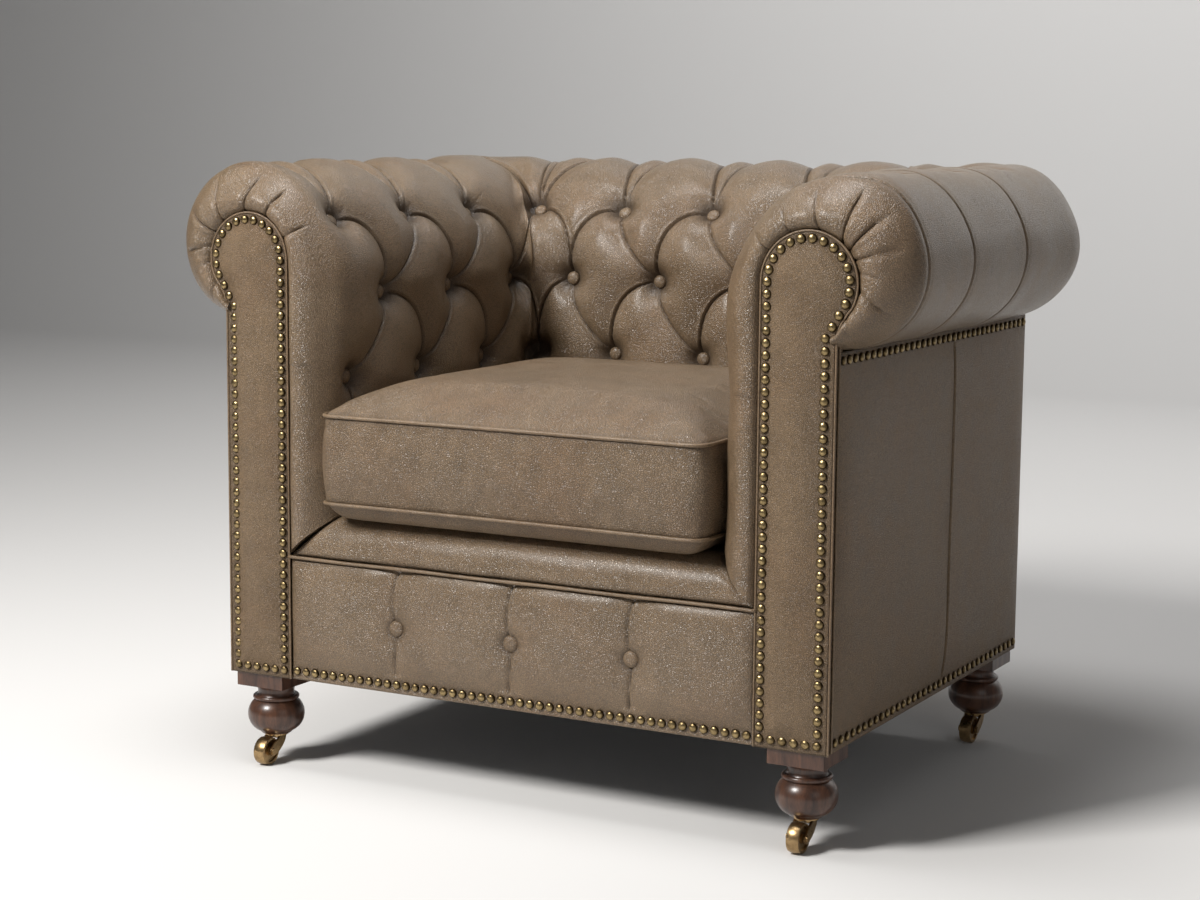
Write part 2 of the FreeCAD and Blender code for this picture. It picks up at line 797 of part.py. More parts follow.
def turned_foot():
    """A square block over a turned neck, rings and bun, bored for its bolt and socket."""
    block_bottom = base_height - foot_block_height
    above_bun = block_bottom - bun_height

    def point(radius, height):
        return Vector(radius, 0, height)

    # Above the bun's widest place the bead and the cove share the height that the block leaves
    bottom_edge = point(foot_bottom_radius + foot_bottom_flare, foot_bottom + foot_bottom_flare)
    bun_end = point(foot_neck_radius + 2, bun_height + 0.49 * above_bun)
    bead = point(foot_neck_radius + 1 + 0.095 * above_bun, bun_height + 0.56 * above_bun)
    bead_end = point(foot_neck_radius, bun_height + 0.63 * above_bun)
    cove = point(foot_neck_radius - 0.024 * above_bun, bun_height + 0.85 * above_bun)
    top_edge = point(foot_neck_radius + 0.19 * above_bun, block_bottom)
    profile = Part.Wire([
        line(point(0, foot_bottom), point(foot_bottom_radius, foot_bottom)),
        line(point(foot_bottom_radius, foot_bottom), bottom_edge),
        arc(bottom_edge, point(bun_radius, bun_height), bun_end),
        arc(bun_end, bead, bead_end),
        arc(bead_end, cove, top_edge),
        line(top_edge, point(0, block_bottom)),
        line(point(0, block_bottom), point(0, foot_bottom))])
    turned = Part.Face(profile).revolve(Vector(0, 0, 0), Vector(0, 0, 1), 360)
    half = foot_block / 2
    top = block((-half, -half, block_bottom), (half, half, base_height))
    foot = top.fuse(turned)
    foot = foot.cut(rod(bolt_radius + running_fit, Vector(0, 0, foot_bore_bottom),
                        Vector(0, 0, base_height + overcut)))
    foot = foot.cut(rod(socket_radius + gap, Vector(0, 0, foot_bottom - overcut),
                        Vector(0, 0, foot_bottom + socket_length + gap)))
    return one_solid(foot)


def caster_socket():
    """The round plate under the bun and the tube that holds the swivel stem."""
    plate_bottom = foot_bottom - gap - plate_thickness
    plate = rod(plate_radius, Vector(0, 0, plate_bottom), Vector(0, 0, foot_bottom - gap))
    sleeve = rod(socket_radius, Vector(0, 0, plate_bottom),
                 Vector(0, 0, foot_bottom + socket_length))
    bore = rod(stem_radius + running_fit, Vector(0, 0, plate_bottom - overcut),
               Vector(0, 0, foot_bottom + socket_length - socket_floor))
    return one_solid(plate.fuse(sleeve).cut(bore))


def caster_fork():
    """The crown and stem with two cheeks that carry the axle behind the stem."""
    crown_top_height = foot_bottom - 2 * gap - plate_thickness
    crown_low = crown_top_height - crown_thickness
    crown = rod(crown_radius, Vector(0, 0, crown_low), Vector(0, 0, crown_top_height))
    stem_top = foot_bottom + socket_length - socket_floor - stem_end_room
    stem = rod(stem_radius, Vector(0, 0, crown_low), Vector(0, 0, stem_top))
    cheek_inner = wheel_width / 2 + fork_gap

    def on_boss(degrees):
        y, z = on_circle(-caster_trail, wheel_height, fork_boss_radius, degrees)
        return Vector(0, y, z)

    def bowed(start, end, back, up):
        return (start + end) * 0.5 + Vector(0, back, up)

    # The cheek leaves the crown over half its width and narrows to the boss round the axle
    front = Vector(0, -crown_radius * 0.55, crown_top_height)
    rear = Vector(0, crown_radius * 0.45, crown_top_height)
    rear_low = Vector(0, crown_radius * 0.25, crown_low - crown_thickness)
    lower, far, upper = on_boss(-60), on_boss(210), on_boss(120)
    sag = bowed(rear_low, lower, fork_bow, -fork_bow)
    rise = bowed(front, upper, fork_bow / 2, fork_bow / 2)
    wire = Part.Wire([line(front, rear), line(rear, rear_low), arc(rear_low, sag, lower),
                      arc(lower, far, upper), arc(upper, rise, front)])
    cheek = Part.Face(wire).extrude(Vector(fork_plate, 0, 0))
    near = cheek.translated(Vector(cheek_inner, 0, 0))
    other = cheek.translated(Vector(-cheek_inner - fork_plate, 0, 0))
    fork = crown.fuse([stem, near, other])
    centre = Vector(0, -caster_trail, wheel_height)
    across = Vector(wheel_width, 0, 0)
    bore = rod(axle_radius + running_fit, centre - across, centre + across)
    wheel_room = rod(wheel_radius + fork_wheel_room, centre - Vector(cheek_inner, 0, 0),
                     centre + Vector(cheek_inner, 0, 0))
    return one_solid(fork.cut(bore).cut(wheel_room))


def caster_axle():
    """A headed pin through both cheeks."""
    outer = wheel_width / 2 + fork_gap + fork_plate + running_fit
    centre = Vector(0, -caster_trail, wheel_height)
    pin = rod(axle_radius, centre - Vector(outer, 0, 0), centre + Vector(outer, 0, 0))
    right_head = rod(axle_head_radius, centre + Vector(outer, 0, 0),
                     centre + Vector(outer + axle_head, 0, 0))
    left_head = rod(axle_head_radius, centre - Vector(outer, 0, 0),
                    centre - Vector(outer + axle_head, 0, 0))
    return one_solid(pin.fuse([right_head, left_head]))


def caster_wheel():
    """A wheel with a full tread, a web thinned on both sides and a full-width hub."""
    half = wheel_width / 2
    web = half - wheel_recess
    rim = wheel_radius - tread_thickness
    bore = axle_radius + running_fit
    shoulder = half - tread_shoulder
    points = [(bore, half), (wheel_hub_radius, half), (wheel_hub_radius, web), (rim, web),
              (rim, shoulder), (wheel_radius - tread_crown, shoulder)]
    wire_points = [Vector(across, 0, radius) for radius, across in points]
    mirrored = [Vector(-p.x, 0, p.z) for p in reversed(wire_points)]
    edges = []
    for start, end in zip(wire_points, wire_points[1:]):
        edges.append(line(start, end))
    edges.append(arc(wire_points[-1], Vector(0, 0, wheel_radius), mirrored[0]))
    for start, end in zip(mirrored, mirrored[1:]):
        edges.append(line(start, end))
    edges.append(line(mirrored[-1], wire_points[0]))
    wheel = Part.Face(Part.Wire(edges)).revolve(Vector(0, 0, 0), Vector(1, 0, 0), 360)
    wheel.translate(Vector(0, -caster_trail, wheel_height))
    return wheel


foot_x = half_width - foot_inset
corners = {"front_left": (-foot_x, foot_inset), "front_right": (foot_x, foot_inset),
           "rear_left": (-foot_x, body_depth - foot_inset),
           "rear_right": (foot_x, body_depth - foot_inset)}
sockets = []
for corner, (x, y) in corners.items():
    shift = Vector(x, y, 0)
    foot = turned_foot().translated(shift)
    pieces[corner + "_foot"] = foot
    room = foot_block / 2 + gap
    dust_cover = dust_cover.cut(block((x - room, y - room, 0), (x + room, y + room, roll_top)))
    sockets.append(caster_socket().translated(shift))
    pieces[corner + "_caster_fork"] = caster_fork().translated(shift)
    pieces[corner + "_caster_axle"] = caster_axle().translated(shift)
    pieces[corner + "_caster_wheel"] = caster_wheel().translated(shift)
pieces["caster_sockets"] = Part.makeCompound(sockets)
pieces["dust_cover"] = one_solid(dust_cover)

# Seat cushion


def cushion_outline(inset, height, corner):
    """A level closed outline: four sides drawn in between four rounded corners."""
    draw = math.radians(side_draw_angle)
    right = cushion_half_width - inset - corner
    front = cushion_front + inset + corner
    back = cushion_back - inset - corner
    centres = [(right, front, -90), (right, back, 0), (-right, back, 90), (-right, front, 180)]
    bends = []
    for x, y, turn in centres:
        begin, middle, end = (math.radians(turn) - draw, math.radians(turn + 45),
                              math.radians(turn + 90) + draw)
        bends.append([Vector(x + corner * math.cos(a), y + corner * math.sin(a), height)
                      for a in (begin, middle, end)])
    edges = []
    for k, bend in enumerate(bends):
        edges.append(arc(*bend))
        start = bend[2]
        end = bends[(k + 1) % 4][0]
        span = end - start
        inward = Vector(-span.y, span.x, 0)
        inward.normalize()
        draw_in = span.Length / 2 * math.tan(draw / 2)
        edges.append(arc(start, (start + end) * 0.5 + inward * draw_in, end))
    return Part.Wire(edges)


def cushion_body(shrink):
    """The crowned cushion as three lofts that meet at its two seams."""
    corner = cushion_corner_radius - shrink
    crown = crown_top - upper_seam
    belly = cushion_bottom - lower_seam
    half_span = min(cushion_half_width, (cushion_back - cushion_front) / 2)

    def ring(seam_height, rise, inset_share, rise_share, shrink_share):
        """A level ring of the crown or belly, set in and rounded by shares of the half span."""
        inset = half_span * inset_share
        height = seam_height + rise * rise_share - math.copysign(shrink * shrink_share, rise)
        return cushion_outline(inset + shrink, height, corner + inset * 0.57)

    lower = cushion_outline(shrink, lower_seam, corner)
    upper = cushion_outline(shrink, upper_seam, corner)
    middle = cushion_outline(shrink - band_bulge, (lower_seam + upper_seam) / 2, corner)
    cap = Part.makeLoft([upper, ring(upper_seam, crown, 0.145, 0.56, 0.5),
                         ring(upper_seam, crown, 0.35, 0.87, 1),
                         ring(upper_seam, crown, 0.61, 1, 1)], True, False)
    band = Part.makeLoft([lower, middle, upper], True, False)
    under = Part.makeLoft([lower, ring(lower_seam, belly, 0.053, 0.72, 0.5),
                           ring(lower_seam, belly, 0.13, 1, 1)], True, False)
    return one_solid(band.fuse([cap, under]))


cushion_shell = cushion_body(0)
pieces["cushion_cover"] = one_solid(cushion_shell.cut(cushion_body(cushion_leather)))
pieces["cushion_core"] = cushion_body(cushion_leather + gap)

seam_offset = -(cushion_piping_radius + gap)
pipings = []
for height in (lower_seam, upper_seam):
    seam = cushion_outline(seam_offset, height, cushion_corner_radius - seam_offset)
    pipings.append(tube(seam.Edges, cushion_piping_radius))
pieces["cushion_piping"] = Part.makeCompound(pipings)

# Dome-headed nails


def nail(place, normal):
    return set_on(dome(nail_radius, 0, nail_height), place, normal)


def spaced(start, end, pitch):
    count = max(1, round(abs(end - start) / pitch))
    return [start + (end - start) * k / count for k in range(count + 1)]


facing_nails = []
nail_z = base_height + base_nail_rise
inner_u = facing_width - edge_nail_inset
head_nail_radius = head_radius - edge_nail_inset
for height in spaced(nail_z, head_height, nail_pitch):
    facing_nails.append(nail(Vector(inner_u, 0, height), outward))
head_steps = round(math.radians(head_turn) * head_nail_radius / nail_pitch)
for k in range(1, head_steps + 1):
    u, w = on_circle(head_inset, head_height, head_nail_radius, head_turn * k / head_steps)
    facing_nails.append(nail(Vector(u, 0, w), outward))
leave_u, leave_w = on_circle(head_inset, head_height, head_nail_radius, head_turn)
slant = math.hypot(leave_u - nail_inset, leave_w - head_return_height)
slant_steps = max(1, round(slant / nail_pitch))
for k in range(1, slant_steps):
    share = k / slant_steps
    facing_nails.append(nail(Vector(leave_u + (nail_inset - leave_u) * share, 0,
                                    leave_w + (head_return_height - leave_w) * share), outward))
for height in spaced(head_return_height, nail_z, nail_pitch):
    facing_nails.append(nail(Vector(nail_inset, 0, height), outward))
for u in spaced(nail_inset, inner_u, nail_pitch)[1:-1]:
    facing_nails.append(nail(Vector(u, 0, nail_z), outward))
pieces["facing_nails"] = Part.makeCompound(
    [to_left(dome) for dome in facing_nails] + [to_right(dome) for dome in facing_nails])

side_out = Vector(-1, 0, 0)
base_nails = []
nailed_half = border_half - nail_radius - nail_room
for x in spaced(-nailed_half, nailed_half, nail_pitch):
    base_nails.append(nail(Vector(x, pad_front, nail_z), outward))
side_ends = (facing_thickness + 2 * nail_radius, body_depth - nail_inset)
back_ends = (-half_width + nail_inset, half_width - nail_inset)
roll_nails = []
for v in spaced(side_ends[0], side_ends[1], side_nail_pitch):
    low_dome = nail(Vector(0, v, nail_z), side_out)
    high_dome = nail(Vector(0, v, roll_nail_height), side_out)
    base_nails += [to_left(low_dome), to_right(low_dome)]
    roll_nails += [to_left(high_dome), to_right(high_dome)]
for v in spaced(back_ends[0], back_ends[1], side_nail_pitch):
    if abs(v) > panel_edge - nail_radius:
        continue
    base_nails.append(to_back(nail(Vector(0, v, nail_z), side_out)))
    roll_nails.append(to_back(nail(Vector(0, v, roll_nail_height), side_out)))
pieces["base_nails"] = Part.makeCompound(base_nails)
pieces["roll_nails"] = Part.makeCompound(roll_nails)

# The origin is on the floor below the middle of the chair's box

front_reach = min(cushion_front - piping_reach, -nail_height,
                  foot_inset - caster_trail - wheel_radius)
back_reach = body_depth + roll_radius - roll_inset
middle = Vector(0, (front_reach + back_reach) / 2, 0)
for name, shape in pieces.items():
    shape.translated(middle * -1).exportStep("parts/" + name + ".step")
print("middle of the depth", round(middle.y, 3), "nodes", len(pieces))
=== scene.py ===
import json
import math
import random

import bmesh
import bpy
import numpy as np
from mathutils import Matrix, Vector

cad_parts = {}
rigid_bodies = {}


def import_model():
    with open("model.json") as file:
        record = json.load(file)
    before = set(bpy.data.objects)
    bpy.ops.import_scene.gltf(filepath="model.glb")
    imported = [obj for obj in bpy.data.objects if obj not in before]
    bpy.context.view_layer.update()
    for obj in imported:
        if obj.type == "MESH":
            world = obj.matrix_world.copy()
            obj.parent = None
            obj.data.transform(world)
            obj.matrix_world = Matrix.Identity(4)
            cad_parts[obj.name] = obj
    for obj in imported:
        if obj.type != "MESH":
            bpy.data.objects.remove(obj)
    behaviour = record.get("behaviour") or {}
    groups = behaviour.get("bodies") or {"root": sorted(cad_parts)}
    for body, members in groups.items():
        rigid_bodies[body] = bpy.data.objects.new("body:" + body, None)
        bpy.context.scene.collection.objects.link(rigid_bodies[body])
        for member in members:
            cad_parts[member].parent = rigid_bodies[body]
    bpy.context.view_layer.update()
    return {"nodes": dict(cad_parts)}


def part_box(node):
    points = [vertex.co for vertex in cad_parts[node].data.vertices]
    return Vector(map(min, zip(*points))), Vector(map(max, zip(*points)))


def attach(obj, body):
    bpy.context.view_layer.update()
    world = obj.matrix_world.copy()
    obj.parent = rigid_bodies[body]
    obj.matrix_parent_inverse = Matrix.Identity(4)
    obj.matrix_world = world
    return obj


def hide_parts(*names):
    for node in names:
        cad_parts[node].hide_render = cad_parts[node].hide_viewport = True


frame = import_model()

# The chair's own sizes in metres, as in the part's source. Arms and back are runs with their own
# coordinates: u inward from the outer face, v along the face, w up.
half_width = 0.430
body_depth = 0.670
middle_y = 0.37025
base_height = 0.127
roll_top = 0.796
roll_radius = 0.098
roll_inset = 0.004
pad_reach = 0.151
pad_thickness = 0.063
pad_arc_radius = pad_reach - roll_inset
pad_arc_height = roll_top - pad_arc_radius
roll_height = roll_top - roll_radius
corner_inset = 0.096
swing_start = body_depth - corner_inset
facing_width = 0.0925
facing_thickness = 0.012
head_radius = 0.0585
head_inset = facing_width - head_radius
head_height = 0.678
head_return_height = 0.616
border_top = 0.288
lip_bottom = 0.2932
pad_foot = 0.2966
lip_back = 0.100
deck_height = 0.346
panel_top = 0.5997
top_row = 0.738
middle_row = 0.631
low_row = 0.524
pit_depth = 0.015
button_radius = 0.011
tuft_button_radius = 0.0097
pad_front = 0.004
border_half = 0.3341
base_nail_height = 0.1385
nail_radius = 0.0059
edge_nail_inset = 0.0070

rng = random.Random(7)
nodes = frame["nodes"]
full_turn = 6.28

# A distance that nothing reaches, a length that counts as none, how sharply the deeper of two
# folds takes over where they meet, and the pads' step along and up, with that of their inner side
far_away = 9.0
tiny = 1e-6
blend_power = 4.0
pad_step = 0.0018
coarse_step = 12


def deselect_all():
    """Leaves nothing selected."""
    for o in bpy.context.view_layer.objects:
        if o.select_get():
            o.select_set(False)


def only(obj):
    """Selects one object alone and makes it the active one."""
    deselect_all()
    obj.select_set(True)
    bpy.context.view_layer.objects.active = obj


deselect_all()


def left_place(u, v, w):
    return np.stack([u - half_width, v - middle_y, w], -1)


def right_place(u, v, w):
    return np.stack([half_width - u, v - middle_y, w], -1)


def back_place(u, v, w):
    return np.stack([v, body_depth - u - middle_y, w], -1)


def new_mesh(name, points, faces, material, attributes=None):
    """A smooth mesh object from points and faces, with a value for each point under each name."""
    mesh = bpy.data.meshes.new(name)
    mesh.from_pydata([tuple(p) for p in points], [], faces)
    mesh.validate()
    for key, values in (attributes or {}).items():
        layer = mesh.attributes.new(key, "FLOAT", "POINT")
        layer.data.foreach_set("value", np.asarray(values, np.float32).ravel())
    mesh.shade_smooth()
    mesh.materials.append(material)
    obj = bpy.data.objects.new(name, mesh)
    bpy.context.scene.collection.objects.link(obj)
    return obj


def face_outwards(obj):
    """Turns a mesh's faces so that their normals point out of it."""
    edit = bmesh.new()
    edit.from_mesh(obj.data)
    bmesh.ops.recalc_face_normals(edit, faces=edit.faces)
    edit.to_mesh(obj.data)
    edit.free()


def weld(obj):
    """Joins the points that lie on each other."""
    edit = bmesh.new()
    edit.from_mesh(obj.data)
    bmesh.ops.remove_doubles(edit, verts=edit.verts, dist=tiny)
    edit.to_mesh(obj.data)
    edit.free()


def places_of(obj):
    return np.array([v.co for v in obj.data.vertices])


def normals_of(obj):
    return np.array([v.normal for v in obj.data.vertices])


def move_points(obj, places):
    obj.data.vertices.foreach_set("co", places.astype(np.float32).ravel())
    obj.data.update()


def dress(obj, body, node, fill=None):
    """Puts a piece on its body, for the CAD node it stands for; the padding fill is not used."""
    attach(obj, body)
    if node is not None:
        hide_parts(node)


def grid_faces(rows, columns, first=0, flip=False):
    """Quads over a grid of points that are numbered row by row."""
    index = first + np.arange(rows * columns).reshape(rows, columns)
    quads = np.stack([index[:-1, :-1], index[:-1, 1:], index[1:, 1:], index[1:, :-1]], -1)
    quads = quads.reshape(-1, 4)
    if flip:
        quads = quads[:, ::-1]
    return quads.tolist()


def perimeter(rows, columns):
    """The row and column of each point round the edge of a grid, in order."""
    return ([(0, j) for j in range(columns)] + [(i, columns - 1) for i in range(1, rows)]
            + [(rows - 1, j) for j in range(columns - 2, -1, -1)]
            + [(i, 0) for i in range(rows - 2, 0, -1)])


def sheet_faces(rows, columns):
    """Faces of two grids of points, one behind the other, and of the edge between them."""
    total = rows * columns
    faces = grid_faces(rows, columns) + grid_faces(rows, columns, total, flip=True)
    ring = [i * columns + j for i, j in perimeter(rows, columns)]
    faces += [[b, a, total + a, total + b] for a, b in zip(ring, ring[1:] + ring[:1])]
    return faces


def backed_panel(name, face, back, material, dark):
    """A panel whose face is a grid of points. Its edge turns in to the places that back gives
    there, and a flat back closes it."""
    rows, columns = dark.shape
    total = rows * columns
    edge = perimeter(rows, columns)
    ring = [i * columns + j for i, j in edge]
    points = [*face.reshape(-1, 3), *(back[i, j] for i, j in edge)]
    faces = grid_faces(rows, columns)
    for k, (a, b) in enumerate(zip(ring, ring[1:] + ring[:1])):
        faces.append([b, a, total + k, total + (k + 1) % len(ring)])
    faces.append([total + k for k in range(len(ring))])
    # The fold attribute carries the shade painted into the face's colour; the edge and the back get
    # none
    values = np.concatenate([dark.ravel(), np.zeros(len(ring))])
    obj = new_mesh(name, points, faces, material, {"fold": values})
    face_outwards(obj)
    return obj


def ease(x):
    """Goes smoothly from 0 to 1 while x does."""
    x = np.clip(x, 0.0, 1.0)
    return x * x * (3 - 2 * x)


# Folds, pleats and wrinkles: lines drawn on the flat leather, at (along the run, up the face)


def bow(start, leave, arrive, end, count=18):
    """A curved line from start to end, leaving and arriving along the two handles."""
    share = np.linspace(0, 1, count)[:, None]
    p0, p1, p2, p3 = (np.array(p, float) for p in (start, leave, arrive, end))
    return ((1 - share) ** 3 * p0 + 3 * (1 - share) ** 2 * share * p1
            + 3 * (1 - share) * share ** 2 * p2 + share ** 3 * p3)


def beside(path, V, T):
    """Distance from each place to a line, the side it is on, and how far along the line it is."""
    best = np.full(V.shape, far_away)
    side = np.zeros(V.shape)
    share = np.zeros(V.shape)
    spans = len(path) - 1
    for k in range(spans):
        ax, ay = path[k]
        ex, ey = path[k + 1] - path[k]
        reach = ex * ex + ey * ey + 1e-12
        s = np.clip(((V - ax) * ex + (T - ay) * ey) / reach, 0, 1)
        dx = V - (ax + ex * s)
        dy = T - (ay + ey * s)
        d = np.hypot(dx, dy)
        closer = d < best
        best = np.where(closer, d, best)
        side = np.where(closer, np.sign(ex * dy - ey * dx), side)
        share = np.where(closer, (k + s) / spans, share)
    return best, side, share


class Fold:
    """One fold of the leather. depth is (at its start, middle, end); reach is how wide its flanks
    are; groove is the sharp line at its bottom; lip is the rolled edge on one side of it."""

    def __init__(self, path, depth, reach, groove=0.0, lip=0.0, lip_side=1, width=0.0013,
                 shade=1.0, fade=(0.0, 0.0)):
        self.path = np.asarray(path, float)
        self.depth = depth
        self.reach = reach
        self.groove = groove
        self.lip = lip
        self.lip_side = lip_side
        self.width = width
        # shade is the strength of the shade painted into the colour along the fold's line
        self.shade = shade
        self.fade = fade


def press_folds(folds, V, T):
    """How far the folds press in at each place, and the shade painted along their lines."""
    sharp_share, flank_power = 0.30, 1.85
    lip_offset, lip_spread = 2.6, 1.7
    middle_shade, shade_spread = 0.62, 0.85
    valleys = np.zeros(V.shape)
    lines = np.zeros(V.shape)
    dark = np.zeros(V.shape)
    for fold in folds:
        low = fold.path.min(0) - fold.reach
        high = fold.path.max(0) + fold.reach
        near = (V > low[0]) & (V < high[0]) & (T > low[1]) & (T < high[1])
        if not near.any():
            continue
        d, side, share = beside(fold.path, V[near], T[near])
        tail = np.ones(share.shape)
        if fold.fade[0] > 0:
            tail = tail * ease(share / fold.fade[0])
        if fold.fade[1] > 0:
            tail = tail * ease((1 - share) / fold.fade[1])
        first, middle, last = fold.depth
        depth = (first * (1 - share) * (1 - 2 * share) + middle * 4 * share * (1 - share)
                 + last * share * (2 * share - 1)) * tail
        x = 1 - np.clip(d / fold.reach, 0, 1)
        valley = depth * (sharp_share * (1 - np.sqrt(1 - x ** 2))
                          + (1 - sharp_share) * x ** flank_power)
        valleys[near] += np.maximum(valley, 0) ** blend_power
        line = -fold.groove * np.exp(-(d / fold.width) ** 2) * tail
        beyond_line = (d - lip_offset * fold.width) / (lip_spread * fold.width)
        rise = np.where(side * fold.lip_side > 0, np.exp(-beyond_line ** 2), 0)
        lines[near] += line + fold.lip * rise * tail
        # Shade painted into the colour along the fold's line, stronger towards its ends
        ends_darker = middle_shade + (1 - middle_shade) * np.abs(2 * share - 1)
        shade = (fold.shade * tail * ends_darker
                 * np.exp(-(d / (shade_spread * fold.width)) ** 2))
        dark[near] = np.maximum(dark[near], shade)
    return valleys ** (1 / blend_power), lines, dark


def button_wells(places, V, T):
    """The funnels round the buttons, and the shade painted into the colour in them."""
    depth, reach, power = 0.0285, 0.0190, 0.95
    shade, shade_from, shade_reach, shade_power = 0.95, 0.009, 0.009, 1.2
    wells = np.zeros(V.shape)
    dark = np.zeros(V.shape)
    for v_at, t_at in places:
        r = np.hypot(V - v_at, T - t_at)
        well = depth * np.exp(-(np.maximum(r - tuft_button_radius, 0) / reach) ** power)
        wells += well ** blend_power
        beyond = np.maximum(r - shade_from, 0) / shade_reach
        dark = np.maximum(dark, shade * np.exp(-beyond ** shade_power))
    return wells ** (1 / blend_power), dark


def gathers(places, seed):
    """Short wrinkles that fan out from each button, between its folds."""
    draw = random.Random(seed)
    wrinkles = []
    for v_at, t_at in places:
        count = draw.randint(8, 11)
        turn = draw.uniform(0, 360)
        for k in range(count):
            angle = math.radians(turn + 360 * k / count + draw.uniform(-11, 11))
            start = draw.uniform(0.012, 0.016)
            length = draw.uniform(0.014, 0.034)
            swerve = draw.uniform(-0.25, 0.25)
            ray = np.linspace(0, 1, 7)
            r = start + length * ray
            bend = angle + swerve * ray
            path = np.stack([v_at + r * np.cos(bend), t_at + r * np.sin(bend)], -1)
            deep = draw.uniform(0.0012, 0.0028)
            wrinkles.append(Fold(path, (deep, deep / 2, 0.0), 0.0085,
                                 groove=draw.uniform(0.0002, 0.0006), width=0.0017,
                                 shade=draw.uniform(0.05, 0.2), fade=(0.25, 0.5)))
    return wrinkles


# The padded profile of the arms and back, by the distance t up the inner face and over the roll
inner_length = pad_arc_height - pad_foot
arc_length = pad_arc_radius * math.pi / 2
crest_t = inner_length + arc_length
tack_t = crest_t + roll_radius * math.pi


def profile(t):
    """u, w and the outward normal of the pad's surface at a distance t."""
    t = np.asarray(t, float)
    lean = np.clip((t - inner_length) / pad_arc_radius, 0, math.pi / 2)
    turn = math.pi / 2 + np.clip((t - crest_t) / roll_radius, 0, math.pi)
    on_roll = t > crest_t
    angle = np.where(on_roll, turn, lean)
    u = np.where(on_roll, roll_inset + roll_radius * np.cos(turn),
                 roll_inset + pad_arc_radius * np.cos(lean))
    w = np.where(on_roll, roll_height + roll_radius * np.sin(turn),
                 np.where(t < inner_length, pad_foot + t,
                          pad_arc_height + pad_arc_radius * np.sin(lean)))
    return u, w, np.cos(angle), np.sin(angle)


def up_face(height):
    """The distance t of a place on the inner face at a height."""
    if height <= pad_arc_height:
        return height - pad_foot
    return inner_length + pad_arc_radius * math.asin((height - pad_arc_height) / pad_arc_radius)


row_t = {"top": up_face(top_row), "middle": up_face(middle_row), "low": up_face(low_row)}


def keyhole(grow=0.0, count=40):
    """The facing's outline (u, w), from its inner foot over the head to its outer foot."""
    radius = head_radius + grow
    leave = math.radians(205)
    neck_share, neck_drop, neck_count = 0.28, 0.0015, 14

    def through(s, start, middle, end):
        return ((1 - s) ** 2 * start + 2 * (1 - s) * s * (2 * middle - (start + end) / 2)
                + s * s * end)

    points = [(facing_width + grow, w) for w in np.linspace(base_height, head_height, count)]
    points += [(head_inset + radius * math.cos(a), head_height + radius * math.sin(a))
               for a in np.linspace(0, leave, count)[1:]]
    leave_u, leave_w = points[-1]
    middle_u = leave_u * neck_share - grow * (1 - neck_share)
    middle_w = (leave_w + head_return_height) / 2 - neck_drop
    for s in np.linspace(0, 1, neck_count)[1:]:
        points.append((through(s, leave_u, middle_u, -grow),
                       through(s, leave_w, middle_w, head_return_height)))
    points += [(-grow, w) for w in np.linspace(head_return_height, base_height, count)[1:]]
    return np.array(points)


def reach_to_facing(t):
    """How far the pad's surface is from the facing's edge, along the inward normal."""
    edge_gap, slack, too_far = 0.0012, 1e-3, 0.09
    parallel = 1e-9
    window = 9
    edge = keyhole(edge_gap)
    u, w, nu, nw = profile(t)
    reach = np.full(u.shape, far_away)
    for (au, aw), (bu, bw) in zip(edge, edge[1:]):
        eu, ew = bu - au, bw - aw
        det = nu * ew - nw * eu
        safe = np.where(np.abs(det) < parallel, parallel, det)
        q = ((u - au) * ew - (w - aw) * eu) / safe
        s = ((w - aw) * nu - (u - au) * nw) / safe
        hit = (s >= -slack) & (s <= 1 + slack) & (q > 0) & (np.abs(det) > parallel)
        reach = np.where(hit & (q < reach), q, reach)
    reach = np.where(reach > too_far, np.nan, reach)
    good = ~np.isnan(reach)
    reach = np.interp(t, t[good], reach[good])
    kernel = np.hanning(window)
    padded_reach = np.pad(reach, window // 2, mode="edge")
    smooth = np.convolve(padded_reach, kernel / kernel.sum(), mode="valid")
    return np.clip(smooth, 0.010, 0.075)


rounding_depth = 0.043
rounding_length = 0.082
front_v = 0.0015
straight_v = front_v + rounding_depth
before_mitre = 0.030
corner_columns = 60


def spread(start, end, step):
    """Evenly spaced values from start to end, about a step apart."""
    return np.linspace(start, end, max(2, int(round((end - start) / step)) + 1))


def profile_rows():
    """Rows up the face, close together where the tufts are."""
    fine_from, fine_to = 0.17, 0.63
    parts = [spread(0, fine_from, pad_step * 2), spread(fine_from, fine_to, pad_step)[1:],
             spread(fine_to, tack_t, pad_step * 2)[1:]]
    return np.concatenate(parts)


def close_pad(rows, columns, inner_rows, inner_columns):
    """Faces of the fine outer grid, the coarse inner grid and the strips between them."""
    faces = grid_faces(rows, columns)
    first = rows * columns
    count_r, count_c = len(inner_rows), len(inner_columns)
    faces += grid_faces(count_r, count_c, first, flip=True)

    def inside(i, j):
        return first + i * count_c + j

    def outside(i, j):
        return i * columns + j

    for k in range(count_c - 1):
        run = range(inner_columns[k], inner_columns[k + 1] + 1)
        faces.append([inside(0, k), inside(0, k + 1)] + [outside(0, j) for j in reversed(run)])
        faces.append([inside(count_r - 1, k + 1), inside(count_r - 1, k)]
                     + [outside(rows - 1, j) for j in run])
    for k in range(count_r - 1):
        run = range(inner_rows[k], inner_rows[k + 1] + 1)
        faces.append([inside(k + 1, 0), inside(k, 0)] + [outside(i, 0) for i in run])
        faces.append([inside(k, count_c - 1), inside(k + 1, count_c - 1)]
                     + [outside(i, columns - 1) for i in reversed(run)])
    return faces


def every(count, step):
    """Every so many-th index up to the last one, which is always there."""
    picks = list(range(0, count - 1, step))
    if count - 1 - picks[-1] < step // 2:
        picks.pop()
    return picks + [count - 1]


